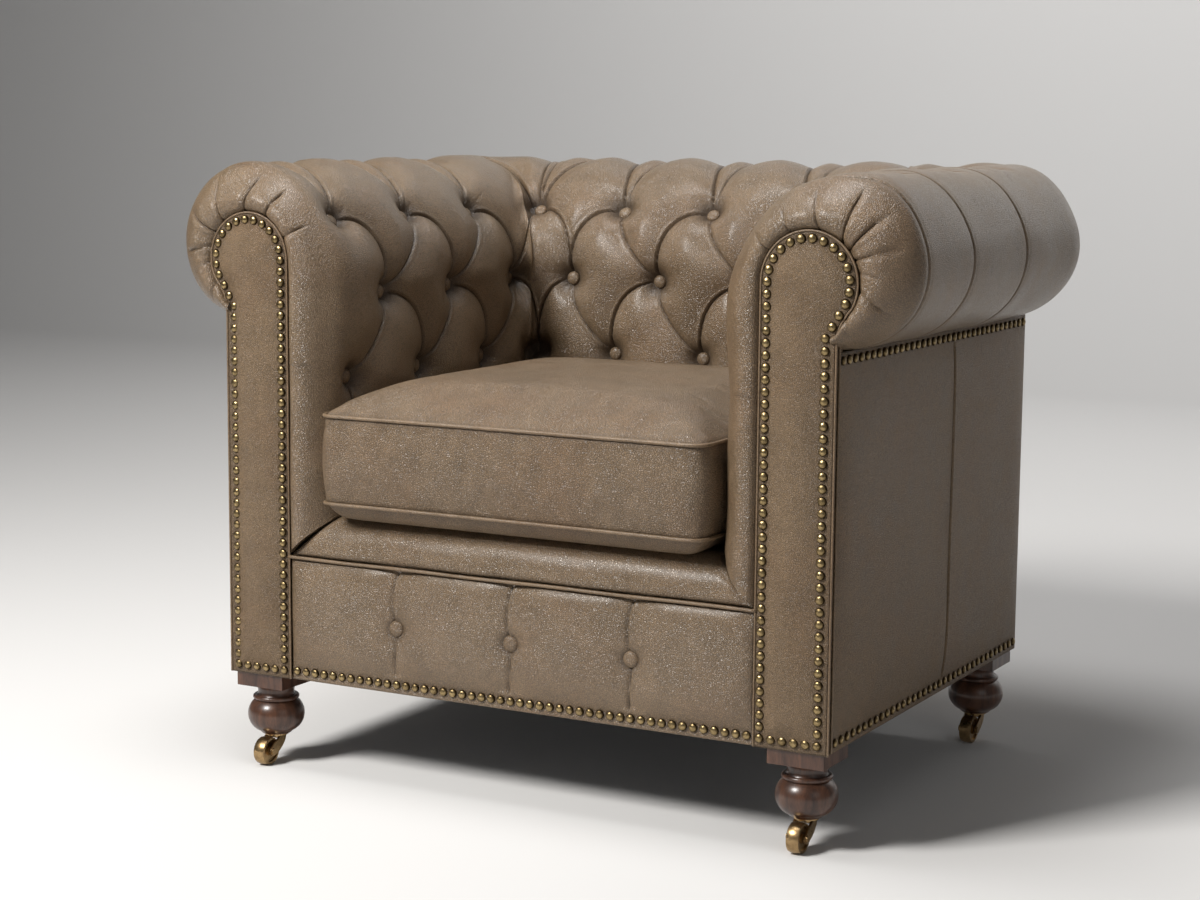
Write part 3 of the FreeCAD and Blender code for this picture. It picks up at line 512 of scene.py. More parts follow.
def corner_path(u, along, v_turn):
    """Plan place (u, v) on a run that turns round the corner axis at v_turn. along is the length
    beyond the last straight place, from v_turn."""
    radius = np.maximum(corner_inset - u, tiny)
    swings = (u < corner_inset) & (along > 0)
    angle = np.where(swings, np.minimum(along / radius, math.pi / 4), 0)
    u_out = np.where(swings, corner_inset - radius * np.cos(angle), u)
    v_out = np.where(swings, v_turn + radius * np.sin(angle), v_turn + along)
    return u_out, v_out


def pad_run_end(u):
    """Path length past the corner axis to the mitre plane, which may be negative."""
    return np.where(u < corner_inset, (corner_inset - u) * math.pi / 4, corner_inset - u)


def soft_swell(V, T, seed, size):
    """A slow unevenness, as hand-stuffed pads have."""
    draw = random.Random(seed)
    wave_count = 7
    total = np.zeros(V.shape)
    for _ in range(wave_count):
        a, b = draw.uniform(12, 46), draw.uniform(12, 46)
        p, q = draw.uniform(0, 6.3), draw.uniform(0, 6.3)
        total += np.sin(a * V + p) * np.sin(b * T + q)
    return total * size / 3


def ruffle_folds(pleats, seed):
    """The pleats that gather the leather round the head of the facing, and finer ones between
    them."""
    draw = random.Random(seed)
    fine_count = 34
    folds = []
    t_all = np.linspace(0.30, tack_t, 600)
    u, w = profile(t_all)[:2]
    bearing = np.degrees(np.arctan2(w - head_height, head_inset - u))
    start_v = straight_v - rounding_length

    def pleat_path(degrees, begin, length, slant, count):
        t_at = t_all[np.argmin(np.abs((bearing - degrees + 180) % 360 - 180))]
        return [(begin + length * s, t_at + slant * s) for s in np.linspace(0, 1, count)]

    for degrees, length, depth in pleats:
        path = pleat_path(degrees, start_v, length, draw.uniform(-0.004, 0.004), 9)
        folds.append(Fold(path, (depth * 0.9, depth * 0.7, depth * 0.4), 0.015,
                          groove=depth * 0.28, lip=depth * 0.12,
                          lip_side=draw.choice((-1, 1)), width=0.0012,
                          shade=min(1.0, depth * 210), fade=(0.0, 0.45)))
    for _ in range(fine_count):
        degrees = draw.uniform(-55, 155)
        begin = start_v + draw.uniform(0.0, 0.010)
        length = draw.uniform(0.010, 0.034)
        path = pleat_path(degrees, begin, length, draw.uniform(-0.006, 0.006), 6)
        deep = draw.uniform(0.0006, 0.0016)
        folds.append(Fold(path, (deep, deep / 2, 0.0), 0.0085, groove=0.0003,
                          width=0.0018, shade=0.1, fade=(0.2, 0.6)))
    return folds


def roll_seams():
    """The lapped seams over the outside of an arm's roll."""
    seams = []
    for crest_v, side_v, under_v in ((0.034, 0.052, 0.040), (0.176, 0.206, 0.186),
                                     (0.372, 0.398, 0.380)):
        path = bow((crest_v, crest_t - 0.035), (crest_v + 0.012, crest_t + 0.05),
                   (side_v + 0.010, crest_t + 0.16), (under_v, tack_t), 26)
        seams.append(Fold(path, (0.0012, 0.0020, 0.0024), 0.016, groove=0.0012, lip=0.0007,
                          lip_side=-1, shade=0.75, fade=(0.22, 0.0)))
    return seams


def mitre_ends(T):
    """Where the mitre lies at each place up the face: along an arm, and out along the back."""
    run = pad_run_end(profile(T)[0])
    return swing_start + run, half_width - corner_inset + run


def corner_fill(T, to_mitre):
    """The stuffing that rounds the inside corner between an arm and the back."""
    largest = 0.052
    u = profile(T)[0]
    radius = (largest * ease((u - 0.075) / 0.05) * ease((T - row_t["low"] + 0.005) / 0.03)
              + tiny)
    reach = np.maximum(math.sqrt(0.5) * radius - to_mitre, 0)
    return radius - np.sqrt(radius ** 2 - reach ** 2)


# The tufts' places: along each run, as in the part's source, with a pitch for each
arm_pitch = 0.168
arm_tops = [0.084 + k * arm_pitch for k in range(3)]
arm_middles = [v + 0.072 for v in arm_tops]
arm_lows = [v - 0.008 for v in arm_tops]
back_pitch = 0.142
back_tops = [k * back_pitch for k in (-2, -1, 0, 1, 2)]
back_middles = [(k + 0.5) * back_pitch for k in (-2, -1, 0, 1)]
back_lows = [k * back_pitch for k in (-1, 0, 1)]
corner_low = 0.262
crest_fullness = 0.0095


def crease(way, start, end, sharp, deep=0.0220):
    """A crease between two tufts. A sharp one leaves sideways and comes down on its end; a soft
    one leaves downward and comes in aslant."""
    across = abs(end[0] - start[0])
    fall = start[1] - end[1]
    if sharp:
        path = bow(start, (start[0] + way * 0.75 * across, start[1] - 0.004),
                   (end[0] + way * 0.05 * across, end[1] + 0.55 * fall), end)
        return Fold(path, (deep, 0.72 * deep, deep), 0.066, groove=0.0026, lip=0.0013,
                    lip_side=way)
    path = bow(start, (start[0] + way * 0.08 * across, start[1] - 0.42 * fall),
               (end[0] - way * 0.45 * across, end[1] + 0.30 * fall), end)
    return Fold(path, (0.85 * deep, 0.60 * deep, 0.85 * deep), 0.062, groove=0.0020, lip=0.0011,
                lip_side=-way, shade=0.85)


def dart(v, t, way):
    """A short pleat that runs up from a middle button."""
    path = bow((v, t + 0.006), (v + way * 0.003, t + 0.022), (v - way * 0.004, t + 0.045),
               (v + way * 0.002, t + 0.066))
    return Fold(path, (0.0095, 0.0050, 0.0010), 0.020, groove=0.0010, width=0.0020, shade=0.45,
                fade=(0.05, 0.6))


def crest_pleats(v, way, lean, swing, draw, past):
    """The pleats from a top button over the crest: one nearly straight, one that leans away."""
    top = row_t["top"]
    loose = draw.uniform(-0.004, 0.004)
    over = bow((v, top), (v + way * 0.004, top + 0.05), (v + way * lean * 0.55, top + 0.09),
               (v + way * (lean + loose), crest_t + past))
    round_ = bow((v - way * 0.003, top), (v - way * 0.008, top + 0.055),
                 (v - way * swing * 0.2, crest_t - 0.020), (v - way * swing, crest_t + past))
    short = bow((v, top + 0.006), (v - way * 0.004, top + 0.03), (v, top + 0.05),
                (v + way * 0.006, top + 0.09))
    return [Fold(over, (0.0170, 0.0150, 0.0140), 0.052, groove=0.0028, lip=0.0014, lip_side=-way,
                 fade=(0.0, 0.22)),
            Fold(round_, (0.0150, 0.0130, 0.0095), 0.050, groove=0.0028, lip=0.0014, lip_side=way,
                 fade=(0.0, 0.30)),
            Fold(short, (0.0065, 0.0030, 0.0), 0.014, groove=0.0010, shade=0.4,
                 fade=(0.05, 0.6))]


def drop_fold(v, t):
    """The fold from a low button down behind the cushion."""
    return Fold(bow((v, t), (v, t - 0.03), (v, t - 0.09), (v, t - 0.16)),
                (0.0140, 0.0080, 0.0030), 0.050, groove=0.0026, lip=0.0012)


def arm_tufting(seed, pleats, past):
    """An arm's folds, pleats, gathers and lapped seams, and its button places."""
    draw = random.Random(seed)
    top, middle, low = row_t["top"], row_t["middle"], row_t["low"]
    folds = []
    for k, v in enumerate(arm_middles):
        folds.append(crease(1, (arm_tops[k], top), (v, middle), True))
        if k < 2:
            folds.append(crease(-1, (arm_tops[k + 1], top), (v, middle), False))
            folds.append(crease(1, (v, middle), (arm_lows[k + 1], low), True, 0.0205))
        folds.append(crease(-1, (v, middle), (arm_lows[k], low), False))
        folds.append(dart(v, middle, 1))
    for v in arm_tops:
        folds += crest_pleats(v, 1, 0.095, -0.018, draw, past)
    folds += [drop_fold(v, low) for v in arm_lows]
    places = ([(v, top) for v in arm_tops] + [(v, middle) for v in arm_middles]
              + [(v, low) for v in arm_lows])
    folds += gathers(places, seed + 2)
    folds += ruffle_folds(pleats, seed + 1)
    folds += roll_seams()
    folds.append(Fold(bow((straight_v - 0.076, 0.247), (straight_v - 0.06, 0.246),
                          (straight_v - 0.05, 0.247), (straight_v - 0.034, 0.248)),
                      (0.0008, 0.0006, 0.0003), 0.010, groove=0.0005, lip=0.0002,
                      width=0.0016, shade=0.4, fade=(0.05, 0.5)))
    return folds, places


def back_tufts():
    """The back's folds, those of both corners, and its button places."""
    draw = random.Random(31)
    top, middle, low = row_t["top"], row_t["middle"], row_t["low"]
    half = back_pitch / 2
    folds = []
    for x in back_middles:
        folds.append(crease(-1, (x + half, top), (x, middle), True))
        folds.append(crease(1, (x - half, top), (x, middle), x < -back_pitch))
        left_low = max(x - half, -corner_low)
        right_low = min(x + half, corner_low)
        folds.append(crease(-1, (x, middle), (left_low, low), True, 0.0200))
        folds.append(crease(1, (x, middle), (right_low, low), False))
        folds.append(dart(x, middle, -1))
    for x in back_tops[1:-1]:
        folds += crest_pleats(x, -1, 0.055, 0.022, draw, 0.085)
    folds += [drop_fold(x, low) for x in back_lows]
    for side in (-1, 1):
        folds += corner_folds(side)
    places = ([(x, top) for x in back_tops] + [(x, middle) for x in back_middles]
              + [(x, low) for x in back_lows])
    folds += gathers(places, 57)
    return folds, places + [(-corner_low, low), (corner_low, low)]


def corner_folds(side):
    """What gathers at a corner. Places past the mitre lie on the arm."""
    top, middle, low = row_t["top"], row_t["middle"], row_t["low"]
    arm_end, back_end = mitre_ends(np.array(middle))
    arm_tuft = back_end + arm_end - arm_middles[2]
    first = -back_tops[0]
    seam_t = np.linspace(crest_t + 0.02, tack_t, 16)
    seam = np.stack([side * mitre_ends(seam_t)[1], seam_t], -1)
    gap_t = np.linspace(low, low - 0.19, 12)
    gap_x = np.concatenate([[corner_low, corner_low + 0.010], np.full(10, back_end)])
    found = [crease(side, (side * first, top), (side * arm_tuft, middle), False),
             crease(-side, (side * arm_tuft, middle), (side * corner_low, low), True, 0.0210)]
    for leave, arrive, end, deep in ((0.290, 0.312, 0.344, 0.0070), (0.282, 0.298, 0.326, 0.0045)):
        path = bow((side * first, top), (side * leave, top + 0.045),
                   (side * arrive, top + 0.09), (side * end, crest_t + 0.075))
        found.append(Fold(path, (0.0165, 0.0130, deep + 0.0040), 0.046, groove=0.0034, lip=0.0018,
                          lip_side=side, fade=(0.0, 0.22)))
    inward = bow((side * 0.280, top), (side * 0.270, top + 0.055),
                 (side * 0.270, crest_t - 0.015), (side * 0.225, crest_t + 0.060))
    found.append(Fold(inward, (0.0150, 0.0115, 0.0070), 0.048, groove=0.0034, lip=0.0018,
                      lip_side=-side, fade=(0.0, 0.3)))
    onward = bow((side * 0.290, top), (side * 0.325, top + 0.05),
                 (side * 0.40, crest_t - 0.02), (side * 0.455, crest_t + 0.015))
    found.append(Fold(onward, (0.0150, 0.0115, 0.0070), 0.048, groove=0.0034, lip=0.0018,
                      lip_side=side, fade=(0.0, 0.3)))
    found.append(Fold(np.stack([side * gap_x, gap_t], -1), (0.0170, 0.0200, 0.0120), 0.045,
                      groove=0.0030, width=0.0030))
    found.append(Fold(seam, (0.0020, 0.0035, 0.0030), 0.022, groove=0.0015, lip=0.0007,
                      width=0.0018, shade=0.8, fade=(0.25, 0.0)))
    return found


def tufted_height(runs, T, to_mitre, noise, front):
    """How far the padded leather stands out of the profile, and the shade painted into its colour.
    runs gives each run's folds and button places with the place along that run."""
    deepest = 0.0305
    valley_shade, shade_from, shade_over = 0.78, 0.008, 0.019
    full_from, full_over = 0.17, 0.06
    crest_over, crest_fade = 0.02, 0.10
    press = np.zeros(T.shape)
    lines = np.zeros(T.shape)
    dark = np.zeros(T.shape)
    for (folds, places), along in runs:
        valley, line, shade = press_folds(folds, along, T)
        wells, well_shade = button_wells(places, along, T)
        press += valley ** blend_power + wells ** blend_power
        lines += line * ease((0.034 - wells) / 0.02)
        dark = np.maximum(dark, np.maximum(shade, well_shade))
    press = np.minimum(press ** (1 / blend_power), deepest)
    # More shade is painted into the colour where the leather is pressed in deep
    dark = np.maximum(dark, valley_shade * ease((press - shade_from) / shade_over))
    full = (ease((T - full_from) / full_over)
            * (1 - ease((T - crest_t - crest_over) / crest_fade)) * front)
    uneven = noise * ease(to_mitre / 0.05)
    return crest_fullness * full - press + lines + uneven + corner_fill(T, to_mitre), dark


def turn_corner(u, v, before, last, end, in_corner, axis):
    """Swings the places in the corner round its axis, stretched so that the run ends on the
    mitre. before is each place along the run before the leather was pressed."""
    stretched = last + (before - last) / (end - last) * (axis + pad_run_end(u) - last)
    path = np.where(in_corner, stretched, v)
    u_turned, v_turned = corner_path(u, path - axis, axis)
    return np.where(in_corner, u_turned, u), np.where(in_corner, v_turned, v)


def finish_pad(name, place, outer, dark, surface, far, start, axis):
    """Closes a pad with a coarse inner side that follows the frame round the corner. far is how
    far along the run each place is, from start to the mitre."""
    sharp_angle = math.radians(62)
    rows, columns = dark.shape
    picks_r, picks_c = every(rows, coarse_step), every(columns, coarse_step)
    some = np.ix_(picks_r, picks_c)
    u0, w0, nu, nw = (part[some] for part in surface)
    u, w = u0 - nu * pad_thickness, w0 - nw * pad_thickness
    side = np.where(far[some] < 0, -1, 1)
    path = start + np.abs(far[some]) * (axis + pad_run_end(u) - start)
    u_turned, v_turned = corner_path(u, path - axis, axis)
    straight = path <= axis
    inner = place(np.where(straight, u, u_turned), np.where(straight, path, v_turned) * side, w)
    faces = close_pad(rows, columns, picks_r, picks_c)
    points = np.concatenate([outer.reshape(-1, 3), inner.reshape(-1, 3)])
    # The fold attribute carries the painted shade of the outer side; the inner side gets none
    values = np.concatenate([dark.ravel(), np.zeros(len(picks_r) * len(picks_c))])
    obj = new_mesh(name, points, faces, leather, {"fold": values})
    face_outwards(obj)
    obj.data.set_sharp_from_angle(angle=sharp_angle)
    return obj


def arm_pad(name, place, side, own, back, seed):
    """An arm's padded surface from the facing to the mitre with the back."""
    straight_length, inner_start = 0.45, 0.031
    bulge_size, bulge_power = 0.0098, 1.5
    tuck_size, tuck_from = 0.0045, 0.86
    foot_fade = 0.07
    rows_t = profile_rows()
    rounding = np.linspace(0, math.pi / 2, int(rounding_length / pad_step) + 1)
    straight = spread(0, 1, pad_step / straight_length)[1:]
    corner = np.linspace(0, 1, corner_columns)[1:]
    n_round, n_straight = len(rounding), len(straight)
    columns = n_round + n_straight + len(corner)
    T = np.repeat(rows_t[:, None], columns, 1)
    u0, w0, nu, nw = profile(T)
    arm_end, back_end = mitre_ends(T[:, :1])
    v_last = swing_start + np.minimum(arm_end - swing_start, 0) - before_mitre
    V = np.zeros(T.shape)
    V[:, :n_round] = straight_v - rounding_length * (1 - rounding / (math.pi / 2))
    V[:, n_round:n_round + n_straight] = straight_v + straight * (v_last - straight_v)
    V[:, n_round + n_straight:] = v_last + corner * (arm_end - v_last)
    to_mitre = np.maximum(arm_end - V, 0)
    h, dark = tufted_height([(own, V), (back, side * (back_end + to_mitre))], T, to_mitre,
                            soft_swell(V, T, seed, 0.0011), ease((V - 0.01) / 0.06))

    reach = reach_to_facing(rows_t)[:, None]
    rim = np.zeros(T.shape)
    rim[:, :n_round] = 1
    phi = np.full(T.shape, math.pi / 2)
    phi[:, :n_round] = rounding
    q = reach * (1 - np.sin(phi))
    bulge = bulge_size * np.sin(math.pi * np.clip(q / reach, 0, 1) ** bulge_power) * rim
    tuck = tuck_size * ease((q / reach - tuck_from) / (1 - tuck_from)) * rim
    v_round = front_v + rounding_depth * (1 - np.cos(phi)) - bulge + tuck
    tip_n = np.sin(phi) / reach
    tip_v = -np.cos(phi) / rounding_depth
    length = np.hypot(tip_n, tip_v)
    along_n, along_v = tip_n / length, tip_v / length
    u_d = u0 - nu * q + nu * along_n * h
    w_d = w0 - nw * q + nw * along_n * h
    v_d = np.where(rim > 0, v_round + along_v * h, V)

    in_corner = np.zeros(T.shape, bool)
    in_corner[:, n_round + n_straight:] = True
    u_f, v_f = turn_corner(u_d, v_d, V, v_last, arm_end, in_corner, swing_start)
    mitre_low = (np.clip(u_f, facing_width, pad_reach) - facing_width) * (
        (deck_height - lip_bottom) / (pad_reach - facing_width)) - (pad_foot - lip_bottom)
    lift = mitre_low * (1 - ease((v_f - lip_back) / 0.01))
    w_f = w_d + lift * (1 - np.clip(rows_t[:, None] / foot_fade, 0, 1))
    far = np.clip((V - straight_v) / (arm_end - straight_v), 0, 1)
    return finish_pad(name, place, place(u_f, v_f, w_f), dark, (u0, w0, nu, nw), far,
                      inner_start, swing_start)


def back_pad(name, own, left_arm, right_arm):
    """The back's padded surface between the two mitres."""
    straight_half = 0.29
    rows_t = profile_rows()
    axis_x = half_width - corner_inset
    corner = np.linspace(0, 1, corner_columns)[1:]
    straight = spread(-1, 1, pad_step / straight_half)
    n_corner = len(corner)
    columns = len(straight) + 2 * n_corner
    T = np.repeat(rows_t[:, None], columns, 1)
    u0, w0, nu, nw = profile(T)
    arm_end, back_end = mitre_ends(T[:, :1])
    x_last = axis_x + np.minimum(back_end - axis_x, 0) - before_mitre
    X = np.zeros(T.shape)
    X[:, n_corner:-n_corner] = straight * x_last
    X[:, -n_corner:] = x_last + corner * (back_end - x_last)
    X[:, :n_corner] = -X[:, -n_corner:][:, ::-1]
    from_middle = np.abs(X)
    to_mitre = np.maximum(back_end - from_middle, 0)
    on_arm = arm_end + to_mitre
    h, dark = tufted_height([(own, X), (left_arm, np.where(X < 0, on_arm, far_away)),
                             (right_arm, np.where(X > 0, on_arm, far_away))], T, to_mitre,
                            soft_swell(X, T, 63, 0.0012), 1.0)
    in_corner = np.ones(T.shape, bool)
    in_corner[:, n_corner:-n_corner] = False
    u_f, v_f = turn_corner(u0 + nu * h, from_middle, from_middle, x_last, back_end, in_corner,
                           axis_x)
    outer = back_place(u_f, v_f * np.sign(X), w0 + nw * h)
    return finish_pad(name, back_place, outer, dark, (u0, w0, nu, nw), X / back_end, 0.0, axis_x)


# Shader node groups that more than one material uses


class Nodes:
    """A short hand for adding and joining nodes in one tree."""

    def __init__(self, tree):
        self.tree = tree

    def put(self, socket, value):
        if isinstance(value, bpy.types.NodeSocket):
            self.tree.links.new(value, socket)
        else:
            socket.default_value = value

    def add(self, kind, inputs=None, **settings):
        node = self.tree.nodes.new(kind)
        for key, value in settings.items():
            setattr(node, key, value)
        for key, value in (inputs or {}).items():
            self.put(node.inputs[key], value)
        return node

    def math(self, operation, first, second=0.0, clamp=False):
        node = self.add("ShaderNodeMath", {0: first, 1: second}, operation=operation)
        node.use_clamp = clamp
        return node.outputs[0]

    def mix(self, factor, first, second, blend="MIX"):
        node = self.add("ShaderNodeMix", data_type="RGBA", blend_type=blend)
        for k, value in ((0, factor), (6, first), (7, second)):
            self.put(node.inputs[k], value)
        return node.outputs[2]

    def ramp(self, value, low, high, out_low=0.0, out_high=1.0):
        node = self.add("ShaderNodeMapRange", {0: value, 1: low, 2: high, 3: out_low, 4: out_high})
        node.clamp = True
        return node.outputs[0]

    def here(self):
        return self.add("ShaderNodeTexCoord").outputs["Object"]

    def noise(self, place, scale, detail, roughness=0.5, distortion=0.0):
        return self.add("ShaderNodeTexNoise",
                        {"Vector": place, "Scale": scale, "Detail": detail,
                         "Roughness": roughness, "Distortion": distortion}).outputs["Fac"]

    def stored(self, attribute):
        return self.add("ShaderNodeAttribute", attribute_name=attribute).outputs["Fac"]

    def dimmed(self, tone, level):
        """A colour times a grey level."""
        grey = self.add("ShaderNodeCombineColor", {0: level, 1: level, 2: level}).outputs[0]
        return self.mix(1.0, tone, grey, "MULTIPLY")

    def bump(self, height, strength, distance):
        return self.add("ShaderNodeBump", {"Height": height, "Strength": strength,
                                           "Distance": distance}).outputs[0]


def shader_group(name, inputs):
    """An empty group with these inputs. Gives its nodes, its inputs' sockets, and a function
    that joins the colour, roughness and normal to its outputs."""
    tree = bpy.data.node_groups.new(name, "ShaderNodeTree")
    kinds = {"color": "NodeSocketColor", "float": "NodeSocketFloat", "vector": "NodeSocketVector"}
    for label, kind, value in inputs:
        socket = tree.interface.new_socket(label, in_out="INPUT", socket_type=kinds[kind])
        socket.default_value = value
    for label, kind in (("Color", "color"), ("Roughness", "float"), ("Normal", "vector")):
        tree.interface.new_socket(label, in_out="OUTPUT", socket_type=kinds[kind])
    given = tree.nodes.new("NodeGroupInput").outputs
    out = tree.nodes.new("NodeGroupOutput").inputs

    def close(color, roughness, normal):
        tree.links.new(color, out["Color"])
        tree.links.new(roughness, out["Roughness"])
        tree.links.new(normal, out["Normal"])
        return tree

    return Nodes(tree), given, close


def leather_group():
    n, given, close = shader_group(
        "leather_hide",
        [("Tone", "color", (0.2, 0.14, 0.09, 1)), ("Warm Tone", "color", (0.25, 0.14, 0.08, 1)),
         ("Painted Shade Tone", "color", (0.04, 0.025, 0.015, 1)), ("Grain Scale", "float", 430.0),
         ("Grain Depth", "float", 0.35), ("Mottle", "float", 0.5), ("Gloss", "float", 0.4)])
    place = n.here()
    cloud = n.noise(place, 7.5, 5.0, 0.62, 0.4)
    patch = n.noise(place, 31.0, 4.0, 0.6)
    fleck = n.noise(place, 260.0, 3.0, 0.6)
    warm = n.math("MULTIPLY", n.ramp(cloud, 0.46, 0.68), given["Mottle"])
    tone = n.mix(warm, given["Tone"], given["Warm Tone"])
    light = n.ramp(patch, 0.3, 0.72, 0.86, 1.13)
    speck = n.ramp(fleck, 0.25, 0.75, 0.9, 1.1)
    tone = n.dimmed(tone, n.math("MULTIPLY", light, speck))
    # The fold attribute is shade painted into the colour in creases, wells, seams and tucks: it
    # mixes in the painted shade tone and adds a little roughness there.
    fold = n.stored("fold")
    shade = n.math("MULTIPLY", fold, 0.82, clamp=True)
    tone = n.mix(shade, tone, given["Painted Shade Tone"])
    wobble = n.add("ShaderNodeTexNoise", {"Vector": place, "Scale": 150.0, "Detail": 3.0})
    moved = n.add("ShaderNodeVectorMath", {0: wobble.outputs["Color"], 1: (0.003, 0.003, 0.003)},
                  operation="MULTIPLY")
    moved = n.add("ShaderNodeVectorMath", {0: place, 1: moved.outputs[0]}, operation="ADD")
    pebble = n.add("ShaderNodeTexVoronoi", {"Vector": moved.outputs[0],
                                            "Scale": given["Grain Scale"], "Randomness": 1.0},
                   feature="DISTANCE_TO_EDGE")
    cell = n.ramp(pebble.outputs["Distance"], 0.0, 0.28)
    fine = n.noise(place, 900.0, 2.0)
    crinkle = n.noise(place, 75.0, 5.0, 0.62, 1.1)
    tone = n.dimmed(tone, n.ramp(cell, 0.0, 0.8, 0.55, 1.14))
    height = n.math("ADD", n.math("MULTIPLY", cell, 0.85), n.math("MULTIPLY", fine, 0.25))
    height = n.math("ADD", height, n.math("MULTIPLY", crinkle, 0.8))
    rough = n.math("ADD", given["Gloss"], n.ramp(patch, 0.3, 0.75, -0.05, 0.08))
    rough = n.math("ADD", rough, n.math("MULTIPLY", cell, -0.04))
    rough = n.math("ADD", rough, n.math("MULTIPLY", fold, 0.15), clamp=True)
    return close(tone, rough, n.bump(height, given["Grain Depth"], 0.0009))


def metal_group():
    n, given, close = shader_group(
        "aged_metal",
        [("Polished", "color", (0.5, 0.36, 0.18, 1)), ("Tarnish", "color", (0.12, 0.08, 0.04, 1)),
         ("Age", "float", 0.5), ("Roughness", "float", 0.3), ("Scale", "float", 120.0)])
    place = n.here()
    cloud = n.noise(place, given["Scale"], 5.0, 0.65)
    dull = n.math("MULTIPLY", n.ramp(cloud, 0.38, 0.7), given["Age"])
    dull = n.math("ADD", dull, n.math("MULTIPLY", n.stored("rim"), 0.9), clamp=True)
    tone = n.mix(dull, given["Polished"], given["Tarnish"])
    rough = n.math("ADD", given["Roughness"], n.math("MULTIPLY", dull, 0.28), clamp=True)
    return close(tone, rough, n.bump(n.noise(place, 520.0, 2.0), 0.12, 0.0006))


def timber_group():
    n, given, close = shader_group(
        "timber_grain",
        [("Light", "color", (0.2, 0.08, 0.04, 1)), ("Dark", "color", (0.04, 0.014, 0.008, 1)),
         ("Along", "vector", (1.0, 1.0, 0.12)), ("Scale", "float", 60.0),
         ("Roughness", "float", 0.3)])
    drawn = n.add("ShaderNodeVectorMath", {0: n.here(), 1: given["Along"]},
                  operation="MULTIPLY").outputs[0]
    figure = n.noise(drawn, given["Scale"], 6.0, 0.6, 0.8)
    pore = n.noise(drawn, 900.0, 2.0)
    streak = n.ramp(figure, 0.33, 0.68)
    tone = n.mix(streak, given["Dark"], given["Light"])
    tone = n.dimmed(tone, n.ramp(pore, 0.3, 0.6, 0.78, 1.05))
    rough = n.math("ADD", given["Roughness"], n.ramp(streak, 0, 1, 0.06, -0.04))
    return close(tone, rough, n.bump(pore, 0.12, 0.0004))


def weave_group():
    n, given, close = shader_group(
        "woven_cloth",
        [("Thread", "color", (0.5, 0.4, 0.25, 1)), ("Gap Tone", "color", (0.1, 0.08, 0.05, 1)),
         ("Threads", "float", 700.0), ("Depth", "float", 0.4)])
    place = n.here()
    parts = n.add("ShaderNodeSeparateXYZ", {0: place}).outputs
    waves = [n.math("SINE", n.math("MULTIPLY", parts[k], given["Threads"])) for k in (0, 1)]
    lift = n.ramp(n.math("MULTIPLY", *waves), -1.0, 1.0)
    slub = n.noise(place, 180.0, 3.0)
    tone = n.mix(lift, given["Gap Tone"], given["Thread"])
    tone = n.dimmed(tone, n.ramp(slub, 0.3, 0.7, 0.8, 1.15))
    return close(tone, n.ramp(slub, 0.2, 0.8, 0.82, 0.95), n.bump(lift, given["Depth"], 0.0006))


groups = {"leather": leather_group(), "metal": metal_group(), "timber": timber_group(),
          "weave": weave_group()}


def finish_material(name, group, values, **finish):
    """A material whose colour, roughness and normal come from a group with its own values."""
    settings = {"metallic": 0.0, "coat": 0.0, "coat_roughness": 0.2, "specular": 0.5,
                "sheen": 0.0, **finish}
    material = bpy.data.materials.new(name)
    material.use_nodes = True
    tree = material.node_tree
    tree.nodes.clear()
    out = tree.nodes.new("ShaderNodeOutputMaterial")
    shader = tree.nodes.new("ShaderNodeBsdfPrincipled")
    source = tree.nodes.new("ShaderNodeGroup")
    source.node_tree = groups[group]
    for key, value in values.items():
        source.inputs[key].default_value = value
    for key, socket in (("metallic", "Metallic"), ("coat", "Coat Weight"),
                        ("coat_roughness", "Coat Roughness"), ("specular", "Specular IOR Level"),
                        ("sheen", "Sheen Weight")):
        shader.inputs[socket].default_value = settings[key]
    for given, socket in (("Color", "Base Color"), ("Roughness", "Roughness"),
                          ("Normal", "Normal")):
        tree.links.new(source.outputs[given], shader.inputs[socket])
    tree.links.new(shader.outputs[0], out.inputs["Surface"])
    material.diffuse_color = (0.3, 0.24, 0.18, 1)
    return material


hide_tone = {"Tone": (0.198, 0.134, 0.077, 1), "Warm Tone": (0.190, 0.113, 0.059, 1),
             "Painted Shade Tone": (0.026, 0.016, 0.010, 1)}
leather = finish_material("brown_hide", "leather",
                          {**hide_tone, "Grain Scale": 430.0, "Grain Depth": 0.66,
                           "Mottle": 0.45, "Gloss": 0.35}, coat=0.22, coat_roughness=0.32,
                          specular=0.6)
leather_flat = finish_material("brown_hide_flat", "leather",
                               {**hide_tone, "Grain Scale": 480.0, "Grain Depth": 0.70,
                                "Mottle": 0.4, "Gloss": 0.42}, specular=0.36)
leather_seat = finish_material("brown_hide_seat", "leather",
                               {**hide_tone, "Tone": (0.190, 0.130, 0.078, 1),
                                "Grain Scale": 390.0, "Grain Depth": 0.75, "Mottle": 0.5,
                                "Gloss": 0.38}, coat=0.08, coat_roughness=0.32)
leather_cord = finish_material("brown_hide_piping", "leather",
                               {**hide_tone, "Tone": (0.222, 0.150, 0.088, 1),
                                "Grain Scale": 620.0, "Grain Depth": 0.30, "Mottle": 0.4,
                                "Gloss": 0.38}, coat=0.06, coat_roughness=0.3)
brass_nail = finish_material("antique_brass_nail", "metal",
                             {"Polished": (0.42, 0.31, 0.155, 1),
                              "Tarnish": (0.050, 0.032, 0.014, 1), "Age": 0.62,
                              "Roughness": 0.25, "Scale": 140.0}, metallic=1.0)
brass_caster = finish_material("aged_caster_brass", "metal",
                               {"Polished": (0.47, 0.32, 0.16, 1),
                                "Tarnish": (0.11, 0.065, 0.030, 1), "Age": 0.6,
                                "Roughness": 0.27, "Scale": 90.0}, metallic=1.0)
steel_wire = finish_material("drawn_spring_steel", "metal",
                             {"Polished": (0.42, 0.42, 0.43, 1), "Tarnish": (0.12, 0.11, 0.10, 1),
                              "Age": 0.4, "Roughness": 0.35, "Scale": 200.0}, metallic=1.0)
